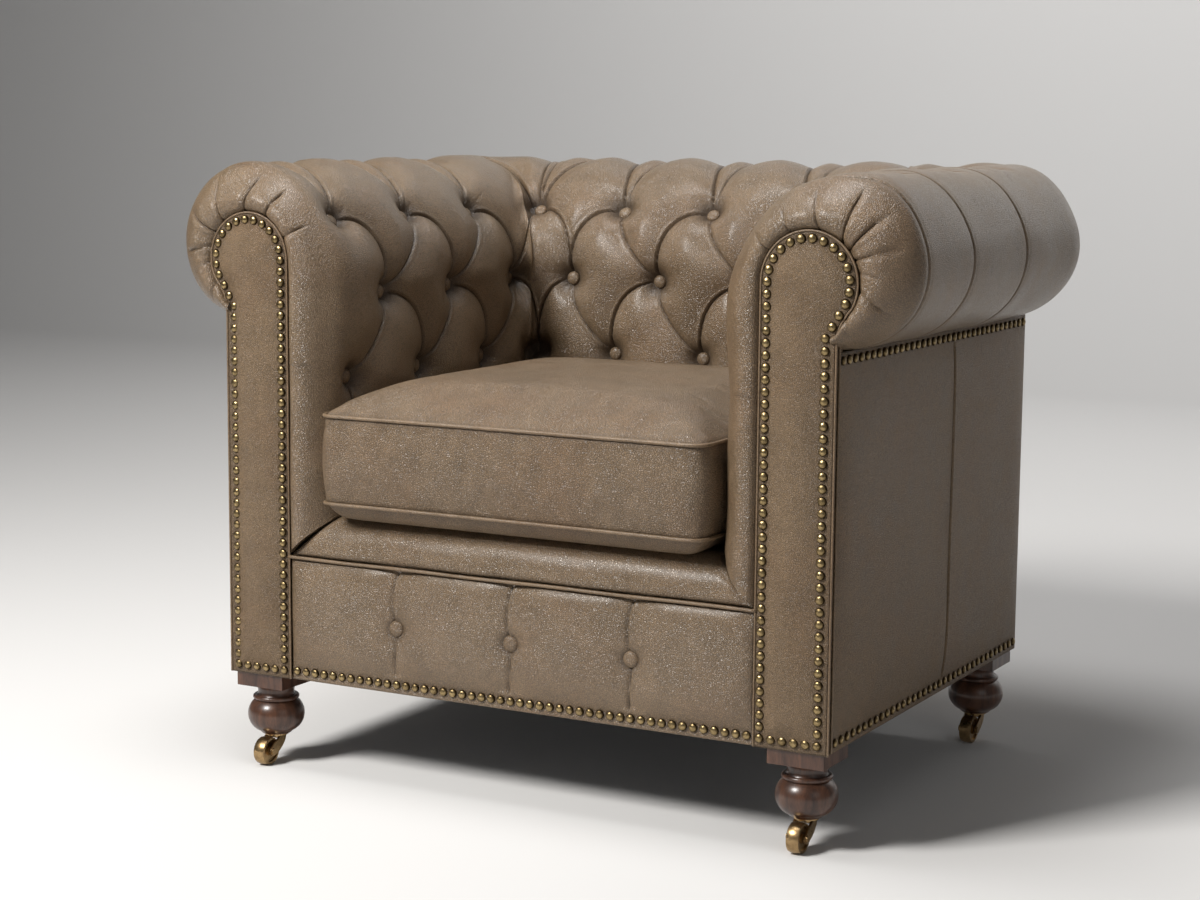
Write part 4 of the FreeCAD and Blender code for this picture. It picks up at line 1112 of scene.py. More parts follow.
walnut = finish_material("dark_walnut_polish", "timber",
                         {"Light": (0.125, 0.055, 0.030, 1), "Dark": (0.032, 0.014, 0.009, 1),
                          "Along": (1.0, 1.0, 0.16), "Scale": 70.0, "Roughness": 0.32},
                         coat=0.3, coat_roughness=0.2)
beech = finish_material("planed_beech", "timber",
                        {"Light": (0.62, 0.46, 0.29, 1), "Dark": (0.44, 0.29, 0.16, 1),
                         "Along": (0.25, 0.12, 1.0), "Scale": 40.0, "Roughness": 0.55})
jute = finish_material("jute_hessian", "weave",
                       {"Thread": (0.50, 0.39, 0.24, 1), "Gap Tone": (0.10, 0.075, 0.045, 1),
                        "Threads": 1300.0, "Depth": 0.6}, sheen=0.2)
cambric = finish_material("black_cambric", "weave",
                          {"Thread": (0.030, 0.030, 0.031, 1), "Gap Tone": (0.006, 0.006, 0.006, 1),
                           "Threads": 2600.0, "Depth": 0.35}, sheen=0.3)
platform_cloth = finish_material("platform_cloth", "weave",
                                 {"Thread": (0.115, 0.088, 0.066, 1),
                                  "Gap Tone": (0.05, 0.038, 0.028, 1), "Threads": 2200.0,
                                  "Depth": 0.3}, sheen=0.25)
foam_yellow = finish_material("upholstery_foam", "weave",
                              {"Thread": (0.74, 0.68, 0.48, 1), "Gap Tone": (0.52, 0.45, 0.27, 1),
                               "Threads": 3100.0, "Depth": 0.5}, sheen=0.1)

# The tufted arms and back. Each pleat is (degrees round the head from outside, length, depth).
right_pleats = [(-52, 0.045, 0.0040), (-23, 0.052, 0.0050), (0, 0.034, 0.0026),
                (21, 0.056, 0.0055), (43, 0.062, 0.0058), (62, 0.066, 0.0060),
                (90, 0.060, 0.0042), (117, 0.056, 0.0034), (143, 0.050, 0.0036)]
left_pleats = [(-46, 0.046, 0.0042), (-20, 0.040, 0.0030), (2, 0.052, 0.0052),
               (30, 0.058, 0.0054), (60, 0.066, 0.0062), (93, 0.070, 0.0062),
               (119, 0.066, 0.0056), (150, 0.058, 0.0048)]

left_tufts = arm_tufting(11, left_pleats, 0.085)
right_tufts = arm_tufting(21, right_pleats, 0.035)
back_set = back_tufts()
left_pad = arm_pad("left_arm_tufting", left_place, -1, left_tufts, back_set, 14)
right_pad = arm_pad("right_arm_tufting", right_place, 1, right_tufts, back_set, 24)
back_tufting = back_pad("back_tufting", back_set, left_tufts, right_tufts)
for obj, node, fill in ((left_pad, "left_arm_pad", 0.85), (right_pad, "right_arm_pad", 0.85),
                        (back_tufting, "back_pad", 0.9)):
    dress(obj, "root", node, fill)

# Covered buttons


def covered_button(radius, height):
    """A leather-covered button: a round head drawn in under its edge, built from a sphere."""
    under_share, dome_power = 0.55, 0.9
    pucker_size, pucker_count = 0.018, 9
    bpy.ops.mesh.primitive_uv_sphere_add(segments=28, ring_count=16, radius=radius)
    obj = bpy.context.object
    for vertex in obj.data.vertices:
        rise = vertex.co.z / radius
        if rise > 0:
            vertex.co.z = height * rise ** dome_power
        else:
            vertex.co.z = height * under_share * rise
        turn = math.atan2(vertex.co.y, vertex.co.x)
        pucker = 1 + pucker_size * math.sin(pucker_count * turn) * (1 - abs(rise))
        vertex.co.x *= pucker
        vertex.co.y *= pucker
    return obj


def joined_copies(name, source, placements, material, attributes=None):
    """One piece made of copies of a source mesh, each with its own place."""
    base = places_of(source)
    source_faces = [list(p.vertices) for p in source.data.polygons]
    points, faces, extra = [], [], {key: [] for key in (attributes or {})}
    for matrix in placements:
        first = len(points) * len(base)
        points.append(base @ np.array(matrix.to_3x3()).T + np.array(matrix.translation))
        faces += [[first + k for k in f] for f in source_faces]
        for key, values in (attributes or {}).items():
            extra[key].append(values)
    extra = {key: np.concatenate(values) for key, values in extra.items()}
    bpy.data.objects.remove(source)
    return new_mesh(name, np.concatenate(points), faces, material, extra)


def facing(place, normal, turn=0.0, scale=1.0):
    """A placement whose local +Z is the normal."""
    rotation = Vector(normal).to_track_quat("Z", "Y").to_matrix().to_4x4()
    return (Matrix.Translation(Vector(place)) @ rotation @ Matrix.Rotation(turn, 4, "Z")
            @ Matrix.Scale(scale, 4))


def tuft_placements():
    """A place for each tufting button, square to the arms' and the back's profile."""
    sunk = pit_depth + 0.0048
    heights = (top_row, middle_row, low_row)
    arm_spots = [(v, w) for row, w in zip((arm_tops, arm_middles, arm_lows), heights) for v in row]
    back_spots = [(x, w) for row, w in zip((back_tops, back_middles, back_lows), heights)
                  for x in row]
    found = []
    for place, spots, inward in ((left_place, arm_spots, Vector((1, 0, 0))),
                                 (right_place, arm_spots, Vector((-1, 0, 0))),
                                 (back_place, back_spots, Vector((0, -1, 0)))):
        for v, w in spots:
            lean = math.asin(max(0.0, w - pad_arc_height) / pad_arc_radius)
            u = roll_inset + (pad_arc_radius - sunk) * math.cos(lean)
            height = w - sunk * math.sin(lean)
            normal = inward * math.cos(lean) + Vector((0, 0, math.sin(lean)))
            spot = place(np.array(u), np.array(v), np.array(height))
            found.append(facing(spot, normal, rng.uniform(0, full_turn), rng.uniform(0.97, 1.03)))
    return found


buttons = joined_copies("tufting_covered_buttons", covered_button(tuft_button_radius, 0.0056),
                        tuft_placements(), leather)
dress(buttons, "root", "tufting_buttons")

# Arm facings: a padded keyhole panel, nailed down along its edge


def distance_to_outline(u, w, outline):
    """How far each place is from the nearest side of an outline."""
    best = np.full(np.shape(u), far_away)
    for (au, aw), (bu, bw) in zip(outline, outline[1:]):
        eu, ew = bu - au, bw - aw
        s = np.clip(((u - au) * eu + (w - aw) * ew) / (eu * eu + ew * ew + 1e-12), 0, 1)
        best = np.minimum(best, np.hypot(u - au - eu * s, w - aw - ew * s))
    return best


def facing_panel(name, place, seed):
    """One facing's leather: rows of points between the two sides of the keyhole."""
    dome_from, row_step, dome_rows, count = 0.70, 0.0028, 26, 42
    flat_edge, crown_height, crown_reach = 0.0130, 0.0075, 0.016
    outline = keyhole()
    closed = np.vstack([outline, outline[:1]])
    top = head_height + head_radius
    lower = spread(base_height, dome_from, row_step)
    dome = dome_from + (top - dome_from) * np.sin(np.linspace(0, math.pi / 2, dome_rows))[1:]
    heights = np.concatenate([lower, dome])
    heights[-1] = top - 1e-5
    share = 0.5 - 0.5 * np.cos(np.linspace(0, math.pi, count))
    share = 0.5 * share + 0.5 * np.linspace(0, 1, count)
    sides = []
    for w in heights:
        crossings = []
        for (au, aw), (bu, bw) in zip(outline, outline[1:]):
            if (aw - w) * (bw - w) <= 0 and abs(bw - aw) > 1e-12:
                crossings.append(au + (bu - au) * (w - aw) / (bw - aw))
        sides.append((min(crossings), max(crossings)))
    left_u, right_u = np.array(sides).T
    U = left_u[:, None] + (right_u - left_u)[:, None] * share[None, :]
    W = np.repeat(heights[:, None], count, 1)
    edge = distance_to_outline(U, W, closed)
    inside = np.maximum(edge - flat_edge, 0)
    crown = crown_height * (1 - np.exp(-(inside / crown_reach) ** 1.25))
    rim = 0.0022 * (1 - np.exp(-(edge / 0.004)))
    press = 0.0012 * np.exp(-((edge - edge_nail_inset) / 0.0045) ** 2)
    unrest = soft_swell(U * 2.0, W, seed, 0.0005)
    front = -(crown + rim - press + unrest * ease(edge / 0.02))
    outer = place(U, front + 0.0008, W)
    inner = place(U, np.full(U.shape, facing_thickness), W)
    # Shade painted into the colour at the facing's edge beside the welt, and along the pressed line
    # of its nails
    dark = (0.5 * np.exp(-(edge / 0.0016) ** 2)
            + 0.32 * np.exp(-((edge - edge_nail_inset) / 0.0065) ** 2))
    points = np.concatenate([outer.reshape(-1, 3), inner.reshape(-1, 3)])
    values = np.concatenate([dark.ravel(), np.zeros(U.size)])
    obj = new_mesh(name, points, sheet_faces(*U.shape), leather_flat, {"fold": values})
    face_outwards(obj)
    return obj


def ring_tube(name, path, radius, lumps, closed=False):
    """A leather cord along points, made as a bevelled curve and then a mesh."""
    curve = bpy.data.curves.new(name, "CURVE")
    curve.dimensions = "3D"
    curve.bevel_depth = radius
    curve.bevel_resolution = 2
    curve.use_fill_caps = not closed
    curve.twist_mode = "MINIMUM"
    spline = curve.splines.new("POLY")
    spline.points.add(len(path) - 1)
    for point, spot in zip(spline.points, path):
        point.co = (*spot, 1.0)
        point.radius = 1.0 + rng.uniform(-lumps, lumps)
    spline.use_cyclic_u = closed
    obj = bpy.data.objects.new(name, curve)
    bpy.context.scene.collection.objects.link(obj)
    only(obj)
    bpy.ops.object.convert(target="MESH")
    obj = bpy.context.object
    weld(obj)
    face_outwards(obj)
    obj.data.shade_smooth()
    obj.data.materials.clear()
    obj.data.materials.append(leather_cord)
    return obj


def join(name, objects):
    """Makes one piece of several."""
    only(objects[0])
    for o in objects[1:]:
        o.select_set(True)
    bpy.ops.object.join()
    obj = bpy.context.object
    obj.name = name
    obj.data.name = name
    return obj


def even_path(points, step):
    """The same line with its points about a step apart."""
    points = np.asarray(points, float)
    lengths = np.concatenate([[0], np.cumsum(np.linalg.norm(np.diff(points, axis=0), axis=1))])
    at = np.linspace(0, lengths[-1], max(2, int(lengths[-1] / step) + 1))
    return np.stack([np.interp(at, lengths, points[:, k]) for k in range(points.shape[1])], -1)


welt_radius = 0.0015
welts = []
for side, place, seed in (("left", left_place, 3), ("right", right_place, 5)):
    panel = facing_panel(side + "_facing_leather", place, seed)
    dress(panel, "root", side + "_arm_facing", 0.5)
    line = even_path(keyhole(0.0017), 0.004)
    round_edge = place(line[:, 0], np.full(len(line), 0.0012), line[:, 1])
    welts.append(ring_tube(side + "_welt", round_edge, welt_radius, 0.02))
    straight = spread(base_height + 0.001, head_return_height - 0.004, 0.006)
    flat = np.zeros(len(straight))
    down_side = place(flat - 0.0012, flat + 0.0128, straight)
    welts.append(ring_tube(side + "_side_welt", down_side, welt_radius, 0.02))
dress(join("facing_welt_piping", welts), "root", "facing_welts")

# Nails: one dome with a rolled rim, copied to every nail of the frame


def nail_dome():
    """One nail's head: half a sphere, flattened, with a lifted rim."""
    dome_height, dome_power = 0.0042, 0.82
    rim_from, rim_lift = 0.9, 0.0003
    bpy.ops.mesh.primitive_uv_sphere_add(segments=14, ring_count=8, radius=1.0)
    obj = bpy.context.object
    bpy.ops.object.mode_set(mode="EDIT")
    bpy.ops.mesh.select_all(action="SELECT")
    bpy.ops.mesh.bisect(plane_co=(0, 0, 0), plane_no=(0, 0, 1), use_fill=True, clear_inner=True)
    bpy.ops.object.mode_set(mode="OBJECT")
    for vertex in obj.data.vertices:
        across = math.hypot(vertex.co.x, vertex.co.y)
        rise = max(vertex.co.z, 0.0)
        vertex.co.x *= nail_radius
        vertex.co.y *= nail_radius
        vertex.co.z = dome_height * rise ** dome_power + (rim_lift if across > rim_from else 0)
    return obj


def islands(node):
    """The separate shells of a CAD node as arrays of points."""
    mesh = bmesh.new()
    mesh.from_mesh(nodes[node].data)
    bmesh.ops.remove_doubles(mesh, verts=mesh.verts, dist=tiny)
    mesh.verts.ensure_lookup_table()
    seen = set()
    found = []
    for vertex in mesh.verts:
        if vertex.index in seen:
            continue
        stack, shell = [vertex], []
        seen.add(vertex.index)
        while stack:
            here = stack.pop()
            shell.append(tuple(here.co))
            for edge in here.link_edges:
                other = edge.other_vert(here)
                if other.index not in seen:
                    seen.add(other.index)
                    stack.append(other)
        found.append(np.array(shell))
    mesh.free()
    return found


def nail_placements(node):
    """A place for each nail of a CAD node, leaning a little at random."""
    lean = 0.045
    found = []
    for shell in islands(node):
        low, high = shell.min(0), shell.max(0)
        axis = int(np.argmin(high - low))
        centre = (low + high) / 2
        outward = Vector((0, 0, 0))
        outward[axis] = math.copysign(1, centre[axis])
        spot = Vector(centre)
        spot[axis] = low[axis] if outward[axis] > 0 else high[axis]
        tilt = Vector([rng.uniform(-1, 1) for _ in range(3)]) * lean
        turn = rng.uniform(0, full_turn)
        found.append(facing(spot, outward + tilt, turn, rng.uniform(0.96, 1.03)))
    return found


tarnish_from = 0.62
tarnish_over = 0.34
for node in ("facing_nails", "base_nails", "roll_nails"):
    source = nail_dome()
    across = np.linalg.norm(places_of(source)[:, :2], axis=1) / nail_radius
    rims = np.clip((across - tarnish_from) / tarnish_over, 0, 1)
    nails = joined_copies(node + "_domes", source, nail_placements(node), brass_nail,
                          {"rim": rims})
    face_outwards(nails)
    dress(nails, "root", node)

# Front border: a padded panel with three seams and three buttons

border_columns = (-0.17, 0.0, 0.17)
border_button_height = 0.212


def front_border():
    """The border's leather: puffed between its edges, drawn in at the seams and the buttons."""
    step, seam_shift = 0.0024, -0.002
    deepest, well_depth = 0.0112, 0.0095
    nail_width = 0.005
    x = spread(-border_half, border_half, step)
    z = spread(base_height, border_top, step)
    X, Z = np.meshgrid(x, z)
    seams = []
    for column in border_columns:
        button = (column, border_button_height)
        up = bow((column + 0.004, border_top + 0.004), (column - 0.006, 0.268),
                 (column - 0.007, 0.238), button, 14)
        down = bow(button, (column + 0.003, 0.196), (column + seam_shift, 0.176),
                   (column + seam_shift, base_nail_height + 0.006), 12)
        seams.append(Fold(up, (0.0085, 0.0075, 0.0100), 0.050, groove=0.0036, lip=0.0016))
        seams.append(Fold(down, (0.0100, 0.0070, 0.0050), 0.044, groove=0.0032, lip=0.0010,
                          fade=(0.0, 0.12)))
    spots = [(column, border_button_height) for column in border_columns]
    seams += gathers(spots, 91)
    valley, lines, dark = press_folds(seams, X, Z)
    wells = np.zeros(X.shape)
    # Wells round the buttons, with shade painted into the colour round each
    for sx, sz in spots:
        r = np.hypot(X - sx, Z - sz)
        wells = np.maximum(wells, well_depth * np.exp(-(np.maximum(r - 0.009, 0) / 0.011)))
        dark = np.maximum(dark, 0.7 * np.exp(-(np.maximum(r - 0.010, 0) / 0.004) ** 1.3))
    to_side = border_half - np.abs(X)
    to_top = border_top - Z
    to_nails = np.maximum(Z - base_nail_height - 0.004, 0)
    swell = 0.0105 * (1 - np.exp(-(to_side / 0.014))) * (1 - np.exp(-(to_top / 0.012)))
    swell = swell * (1 - np.exp(-(to_nails / 0.017) ** 1.1))
    press = (valley ** blend_power + wells ** blend_power) ** (1 / blend_power)
    out = swell - np.minimum(press, deepest) + lines * ease(to_nails / 0.004)
    out = out + soft_swell(X, Z, 77, 0.0007) * ease(to_nails / 0.02)
    # Shade painted into the colour along the base nails, under the top piping and at the sides
    for shade, distance, width in ((0.32, Z - base_nail_height, nail_width),
                                   (0.5, to_top, 0.003), (0.5, to_side, 0.003)):
        dark = np.maximum(dark, shade * np.exp(-(distance / width) ** 2))
    face = np.stack([X, pad_front - middle_y - out, Z], -1)
    return backed_panel("front_border_leather", face, face + (0.0, 0.012, 0.0), leather, dark)


dress(front_border(), "root", "front_border", 0.6)

border_heads = joined_copies(
    "border_covered_buttons", covered_button(button_radius, 0.0062),
    [facing((x, pad_front - middle_y + 0.0012, border_button_height), (0, -1, 0),
            rng.uniform(0, full_turn)) for x in border_columns], leather)
dress(border_heads, "root", "border_buttons")

cord_line = [(x, pad_front - middle_y - 0.0030, border_top + 0.0026 + 0.0003 * math.sin(31 * x))
             for x in spread(-border_half - 0.003, border_half + 0.003, 0.006)]
border_cord = ring_tube("border_top_piping", cord_line, 0.0023, 0.02)
dress(border_cord, "root", "border_piping")

# Seat lip, mitred into the arm pads


def seat_lip():
    """The leather roll over the border, whose ends follow the arm pads' feet."""
    roll_back, inner_y, inner_z = 0.060, 0.040, 0.3003
    roll_rows, tail_step, column_step = 26, 0.004, 0.0085
    bulge_size, bulge_length = 0.0065, 0.085
    run_y = roll_back - pad_front
    rise = deck_height - lip_bottom
    radius = (run_y ** 2 + rise ** 2) / (2 * rise)
    angles = np.linspace(math.asin(run_y / radius), 0, roll_rows)[1:]
    tail = spread(roll_back, lip_back, tail_step)[1:]
    ys = np.concatenate([[pad_front], roll_back - radius * np.sin(angles), tail])
    zs = np.concatenate([[lip_bottom], deck_height - radius + radius * np.cos(angles),
                         np.full(len(tail), deck_height)])
    along = np.concatenate([[0], np.cumsum(np.hypot(np.diff(ys), np.diff(zs)))])
    bulge = bulge_size * np.sin(np.clip(along / bulge_length, 0, 1) * math.pi) ** 0.7
    slope_y, slope_z = np.gradient(ys, along), np.gradient(zs, along)
    ys = ys - slope_z * bulge
    zs = zs + slope_y * bulge
    x = spread(-1, 1, column_step)
    climb = (np.clip(zs, lip_bottom, deck_height) - lip_bottom) / (deck_height - lip_bottom)
    ends = half_width - facing_width - 0.0005 - climb * (pad_reach - facing_width)
    X = ends[:, None] * x[None, :]
    Y = np.repeat(ys[:, None], len(x), 1)
    Z = np.repeat(zs[:, None], len(x), 1)
    to_end = ends[:, None] - np.abs(X)
    tucked = np.exp(-(to_end / 0.007) ** 1.3)
    Y = Y - soft_swell(X, Z * 3, 41, 0.0008) * ease(to_end / 0.02)
    Y = Y + 0.0035 * tucked * (Z < deck_height)
    Z = Z - 0.0025 * tucked
    # Shade painted into the colour where the ends tuck in against the arm pads, and along the lip's
    # lower front edge
    dark = np.maximum(0.75 * np.exp(-(to_end / 0.0025) ** 2),
                      0.5 * np.exp(-(along[:, None] / 0.004) ** 2))
    face = np.stack([X, Y - middle_y, Z], -1)
    share_y = (Y - pad_front) / (lip_back - pad_front)
    back = np.stack([X, inner_y - middle_y + share_y * (lip_back - inner_y),
                     np.full(X.shape, inner_z)], -1)
    return backed_panel("seat_lip_roll", face, back, leather, dark)


dress(seat_lip(), "root", "seat_lip", 0.7)

# Side and back panels

panel_back = 0.0035
stitch_top = 0.596
stitch_foot = 0.159
stitch_offset = 0.0042


def seam_line(seam_v, bend, top, foot):
    """A panel seam's path from top to foot, which drifts along the run by bend."""
    return [(seam_v + bend * (1 - math.cos(math.pi * s / 2)), top - s * (top - foot))
            for s in np.linspace(0, 1, 16)]


def outer_panel(name, place, v_low, v_high, seams, seed):
    """A taut leather panel from under the roll down to the base, with its stitched seams."""
    step, fine_step, fine_count = 0.0045, 0.0012, 12
    puff_size, roll_nails = 0.0042, panel_top - 0.0107
    v = spread(v_low, v_high, step)
    z = spread(base_height, panel_top - 0.001, step)
    fine = [seam_v + bend * 0.5 + k * fine_step for seam_v, bend in seams
            for k in range(-fine_count, fine_count + 1)]
    v = np.unique(np.concatenate([v, [f for f in fine if v_low < f < v_high]]))
    V, Z = np.meshgrid(v, z)
    folds = [Fold(seam_line(*seam, panel_top, 0.15), (0.0016, 0.0016, 0.0016), 0.012,
                  groove=0.0016, lip=0.0007, width=0.0016, shade=0.7) for seam in seams]
    valley, lines, dark = press_folds(folds, V, Z)
    to_edge = np.minimum(V - v_low, v_high - V)
    to_rows = np.minimum(Z - base_nail_height, roll_nails - Z)
    puff = puff_size * (1 - np.exp(-(np.maximum(to_rows - 0.004, 0) / 0.030)))
    puff = puff * (1 - np.exp(-(to_edge / 0.020)))
    wave = soft_swell(V * 0.6, Z * 0.6, seed, 0.0011) * ease(np.maximum(to_rows, 0) / 0.04)
    out = 0.0002 + puff + (wave + 0.0009) * (puff / puff_size) - valley + lines
    out = np.maximum(out, 0.0001)
    # Shade painted into the colour along the two rows of nails and at the panel's edges, added to
    # that painted along the seams
    nail_row_shade = sum(np.exp(-((Z - row) / 0.005) ** 2) for row in (base_nail_height, roll_nails))
    dark = np.maximum(dark, 0.30 * np.clip(nail_row_shade, 0, 1))
    dark = np.maximum(dark, 0.35 * np.exp(-(to_edge / 0.002) ** 2))
    return backed_panel(name, place(-out, V, Z), place(panel_back - out, V, Z), leather_flat,
                        dark)


def stitches(name, place, seams):
    """Rows of thread beside the seams, each stitch a short rounded bar."""
    pitch, out = 0.0042, 0.0050
    bpy.ops.mesh.primitive_cube_add(size=1.0)
    source = bpy.context.object
    source.scale = (0.0007, 0.0030, 0.0007)
    bpy.ops.object.transform_apply(scale=True)
    bpy.ops.object.mode_set(mode="EDIT")
    bpy.ops.mesh.select_all(action="SELECT")
    bpy.ops.mesh.bevel(offset=0.0002, segments=1, affect="EDGES")
    bpy.ops.object.mode_set(mode="OBJECT")

    def spot_at(u, v, w):
        return Vector(place(np.array(u), np.array(v), np.array(w)))

    up = spot_at(-1.0, 0.0, 0.0) - spot_at(0.0, 0.0, 0.0)
    found = []
    for seam in seams:
        line = even_path(seam_line(*seam, stitch_top, stitch_foot), pitch)
        for (av, aw), (bv, bw) in zip(line, line[1:]):
            across = np.array([bw - aw, av - bv]) / math.hypot(bv - av, bw - aw)
            cv = (av + bv) / 2 + across[0] * stitch_offset
            cw = (aw + bw) / 2 + across[1] * stitch_offset
            spot = spot_at(-out, cv, cw)
            run = (spot_at(-out, cv + bv - av, cw + bw - aw) - spot).normalized()
            side = run.cross(up).normalized()
            matrix = Matrix((side, run, up)).transposed().to_4x4()
            matrix.translation = spot
            found.append(matrix)
    return joined_copies(name, source, found, leather_cord)


def panel_with_stitching(name, node, place, v_low, v_high, seams, seed):
    dress(outer_panel(name + "_leather", place, v_low, v_high, seams, seed), "root", node)
    dress(stitches(name + "_stitching", place, seams), "root", None)


side_seams = [(0.388, -0.012)]
back_seams = [(-0.145, 0.0), (0.145, 0.0)]
back_edge = half_width - 0.0045
for side, place, seed in (("left_side", left_place, 101), ("right_side", right_place, 103)):
    panel_with_stitching(side, side + "_panel", place, facing_thickness + 0.0003, body_depth,
                         side_seams, seed)
panel_with_stitching("back", "back_panel", back_place, -back_edge, back_edge, back_seams, 107)

# Seat cushion
cushion_half = 0.2734
cushion_front_v = -0.0184
cushion_back_v = 0.5129
cushion_bottom = 0.3463
lower_seam = 0.3703
upper_seam = 0.4833
crown_top = 0.5253
cushion_corner = 0.022
cushion_middle_v = (cushion_front_v + cushion_back_v) / 2
cushion_half_v = (cushion_back_v - cushion_front_v) / 2


def cushion_plan(a, b):
    """A place on the cushion's plan from a square grid: rounded corners, sides drawn in."""
    drawn_in = 0.004
    x, y = a * cushion_half, b * cushion_half_v
    lx = np.maximum(np.abs(x) - (cushion_half - cushion_corner), 0)
    ly = np.maximum(np.abs(y) - (cushion_half_v - cushion_corner), 0)
    far = np.hypot(lx, ly)
    pull = np.where(far > 1e-9, np.maximum(lx, ly) / np.maximum(far, 1e-9), 1)
    x = np.sign(x) * (np.minimum(np.abs(x), cushion_half - cushion_corner) + lx * pull)
    y = np.sign(y) * (np.minimum(np.abs(y), cushion_half_v - cushion_corner) + ly * pull)
    x = x - np.sign(x) * drawn_in * (1 - b ** 2) * np.abs(a) ** 3
    y = y - np.sign(y) * drawn_in * (1 - a ** 2) * np.abs(b) ** 3
    return x, y + cushion_middle_v


def cushion_cover():
    """The cover's mesh, the points that the cloth run holds, and the two seams' lines."""
    side, levels = 84, 15
    crown_extra, crown_reach, crown_power = 0.0015, 0.165, 3.2
    belly_reach, belly_power = 0.036, 2.5
    side_swell = 0.011
    A, B = np.meshgrid(np.linspace(-1, 1, side), np.linspace(-1, 1, side))
    x, v = cushion_plan(A, B)
    from_side = np.maximum((1 - np.abs(A)) * cushion_half, tiny)
    from_end = np.maximum((1 - np.abs(B)) * cushion_half_v, tiny)
    inset = (from_side ** -blend_power + from_end ** -blend_power) ** (-1 / blend_power)

    def rounded(reach, power):
        return 1 - (1 - np.clip(inset / reach, 0, 1)) ** power

    crown = (crown_top - upper_seam + crown_extra) * rounded(crown_reach, crown_power)
    belly = (lower_seam - cushion_bottom) * rounded(belly_reach, belly_power)
    top = np.stack([x, v - middle_y, upper_seam + crown], -1).reshape(-1, 3)
    under = np.stack([x, v - middle_y, lower_seam - belly], -1).reshape(-1, 3)
    upper_ring = [i * side + j for i, j in perimeter(side, side)]
    lower_ring = [len(top) + k for k in upper_ring]
    points = [tuple(p) for p in top] + [tuple(p) for p in under]
    faces = grid_faces(side, side) + grid_faces(side, side, len(top), flip=True)
    centre_v = cushion_middle_v - middle_y
    previous = upper_ring
    for k in range(1, levels + 1):
        share = k / levels
        level = lower_ring
        if k < levels:
            swell = 1 + side_swell * math.sin(math.pi * share)
            height = upper_seam + (lower_seam - upper_seam) * share
            level = list(range(len(points), len(points) + len(upper_ring)))
            points += [(px * swell, centre_v + (py - centre_v) * swell, height)
                       for px, py in top[upper_ring, :2]]
        for m in range(len(level)):
            after = (m + 1) % len(level)
            faces.append([previous[after], previous[m], level[m], level[after]])
        previous = level
    obj = new_mesh("seat_cushion_leather", points, faces, leather_seat)
    face_outwards(obj)
    seams = {*upper_ring, *lower_ring}
    held = [k for k, p in enumerate(points) if k in seams or p[2] < lower_seam - 1e-5]
    return obj, held, [points[k] for k in upper_ring], [points[k] for k in lower_ring]


def inflate(obj, held, pressure, shrink):
    """Runs cloth with air in it on the piece and keeps the shape that it gives. No place moves
    further than the cap, and none sinks below where it was."""
    frames, cap, least_rise = 20, 0.005, 0.0006
    rest = places_of(obj)
    group = obj.vertex_groups.new(name="held")
    group.add(held, 1.0, "REPLACE")
    modifier = obj.modifiers.new("cloth", "CLOTH")
    cloth = modifier.settings
    cloth.quality = 6
    cloth.mass = 0.4
    cloth.tension_stiffness = 28
    cloth.compression_stiffness = 18
    cloth.shear_stiffness = 12
    cloth.bending_stiffness = 2.5
    cloth.use_pressure = True
    cloth.uniform_pressure_force = pressure
    cloth.shrink_min = -shrink
    cloth.vertex_group_mass = "held"
    cloth.pin_stiffness = 1.0
    cloth.effector_weights.gravity = 0.0
    modifier.collision_settings.use_collision = False
    modifier.point_cache.frame_start = 1
    modifier.point_cache.frame_end = frames
    scene = bpy.context.scene
    for step in range(1, frames + 1):
        scene.frame_set(step)
    shift = places_of(obj.evaluated_get(bpy.context.evaluated_depsgraph_get())) - rest
    obj.modifiers.remove(modifier)
    length = np.linalg.norm(shift, axis=1, keepdims=True)
    shift = shift * np.minimum(1, cap / np.maximum(length, 1e-9))
    outward = normals_of(obj)
    sunk = np.minimum((shift * outward).sum(1, keepdims=True) + least_rise, 0)
    move_points(obj, rest + shift - outward * sunk)
    scene.frame_set(1)


def refine(obj):
    """Rounds a mesh by one level of subdivision."""
    only(obj)
    modifier = obj.modifiers.new("finer", "SUBSURF")
    modifier.levels = 1
    bpy.ops.object.modifier_apply(modifier=modifier.name)


def seam_shade_paint(obj, seams):
    """Shade painted into the leather's colour beside the seams."""
    shade, width = 0.6, 0.004
    points = places_of(obj)
    near = np.full(len(points), far_away)
    for line in seams:
        ring = np.array(line + line[:1])
        for a, b in zip(ring, ring[1:]):
            edge = b - a
            s = np.clip(((points - a) @ edge) / (edge @ edge + 1e-12), 0, 1)
            near = np.minimum(near, np.linalg.norm(points - a - s[:, None] * edge, axis=1))
    layer = obj.data.attributes.new("fold", "FLOAT", "POINT")
    layer.data.foreach_set("value", (shade * np.exp(-(near / width) ** 2)).astype(np.float32))


def seam_cord(seam):
    """The piping just outside one of the cushion's seams."""
    stand_out, cord_radius, cord_step, lumps = 0.0018, 0.0024, 0.006, 0.015
    ring = np.array(seam)
    ahead = np.roll(ring, -1, 0) - np.roll(ring, 1, 0)
    out = np.stack([ahead[:, 1], -ahead[:, 0]], -1)
    out /= np.linalg.norm(out, axis=1, keepdims=True)
    flip = np.sign(((ring - ring.mean(0))[:, :2] * out).sum(1).mean())
    ring[:, :2] += out * flip * stand_out
    line = even_path(np.vstack([ring, ring[:1]]), cord_step)[:-1]
    return ring_tube("cushion_cord", line, cord_radius, lumps, closed=True)


cushion, held_points, *seam_lines = cushion_cover()
inflate(cushion, held_points, pressure=6.0, shrink=0.012)
refine(cushion)
seam_shade_paint(cushion, seam_lines)
dress(cushion, "cushion", "cushion_cover", 0.85)
cushion_cord = join("seat_cushion_piping", [seam_cord(seam) for seam in seam_lines])
dress(cushion_cord, "cushion", "cushion_piping")

# Soft pieces that the leather hides, with their corners rounded and their faces slightly uneven


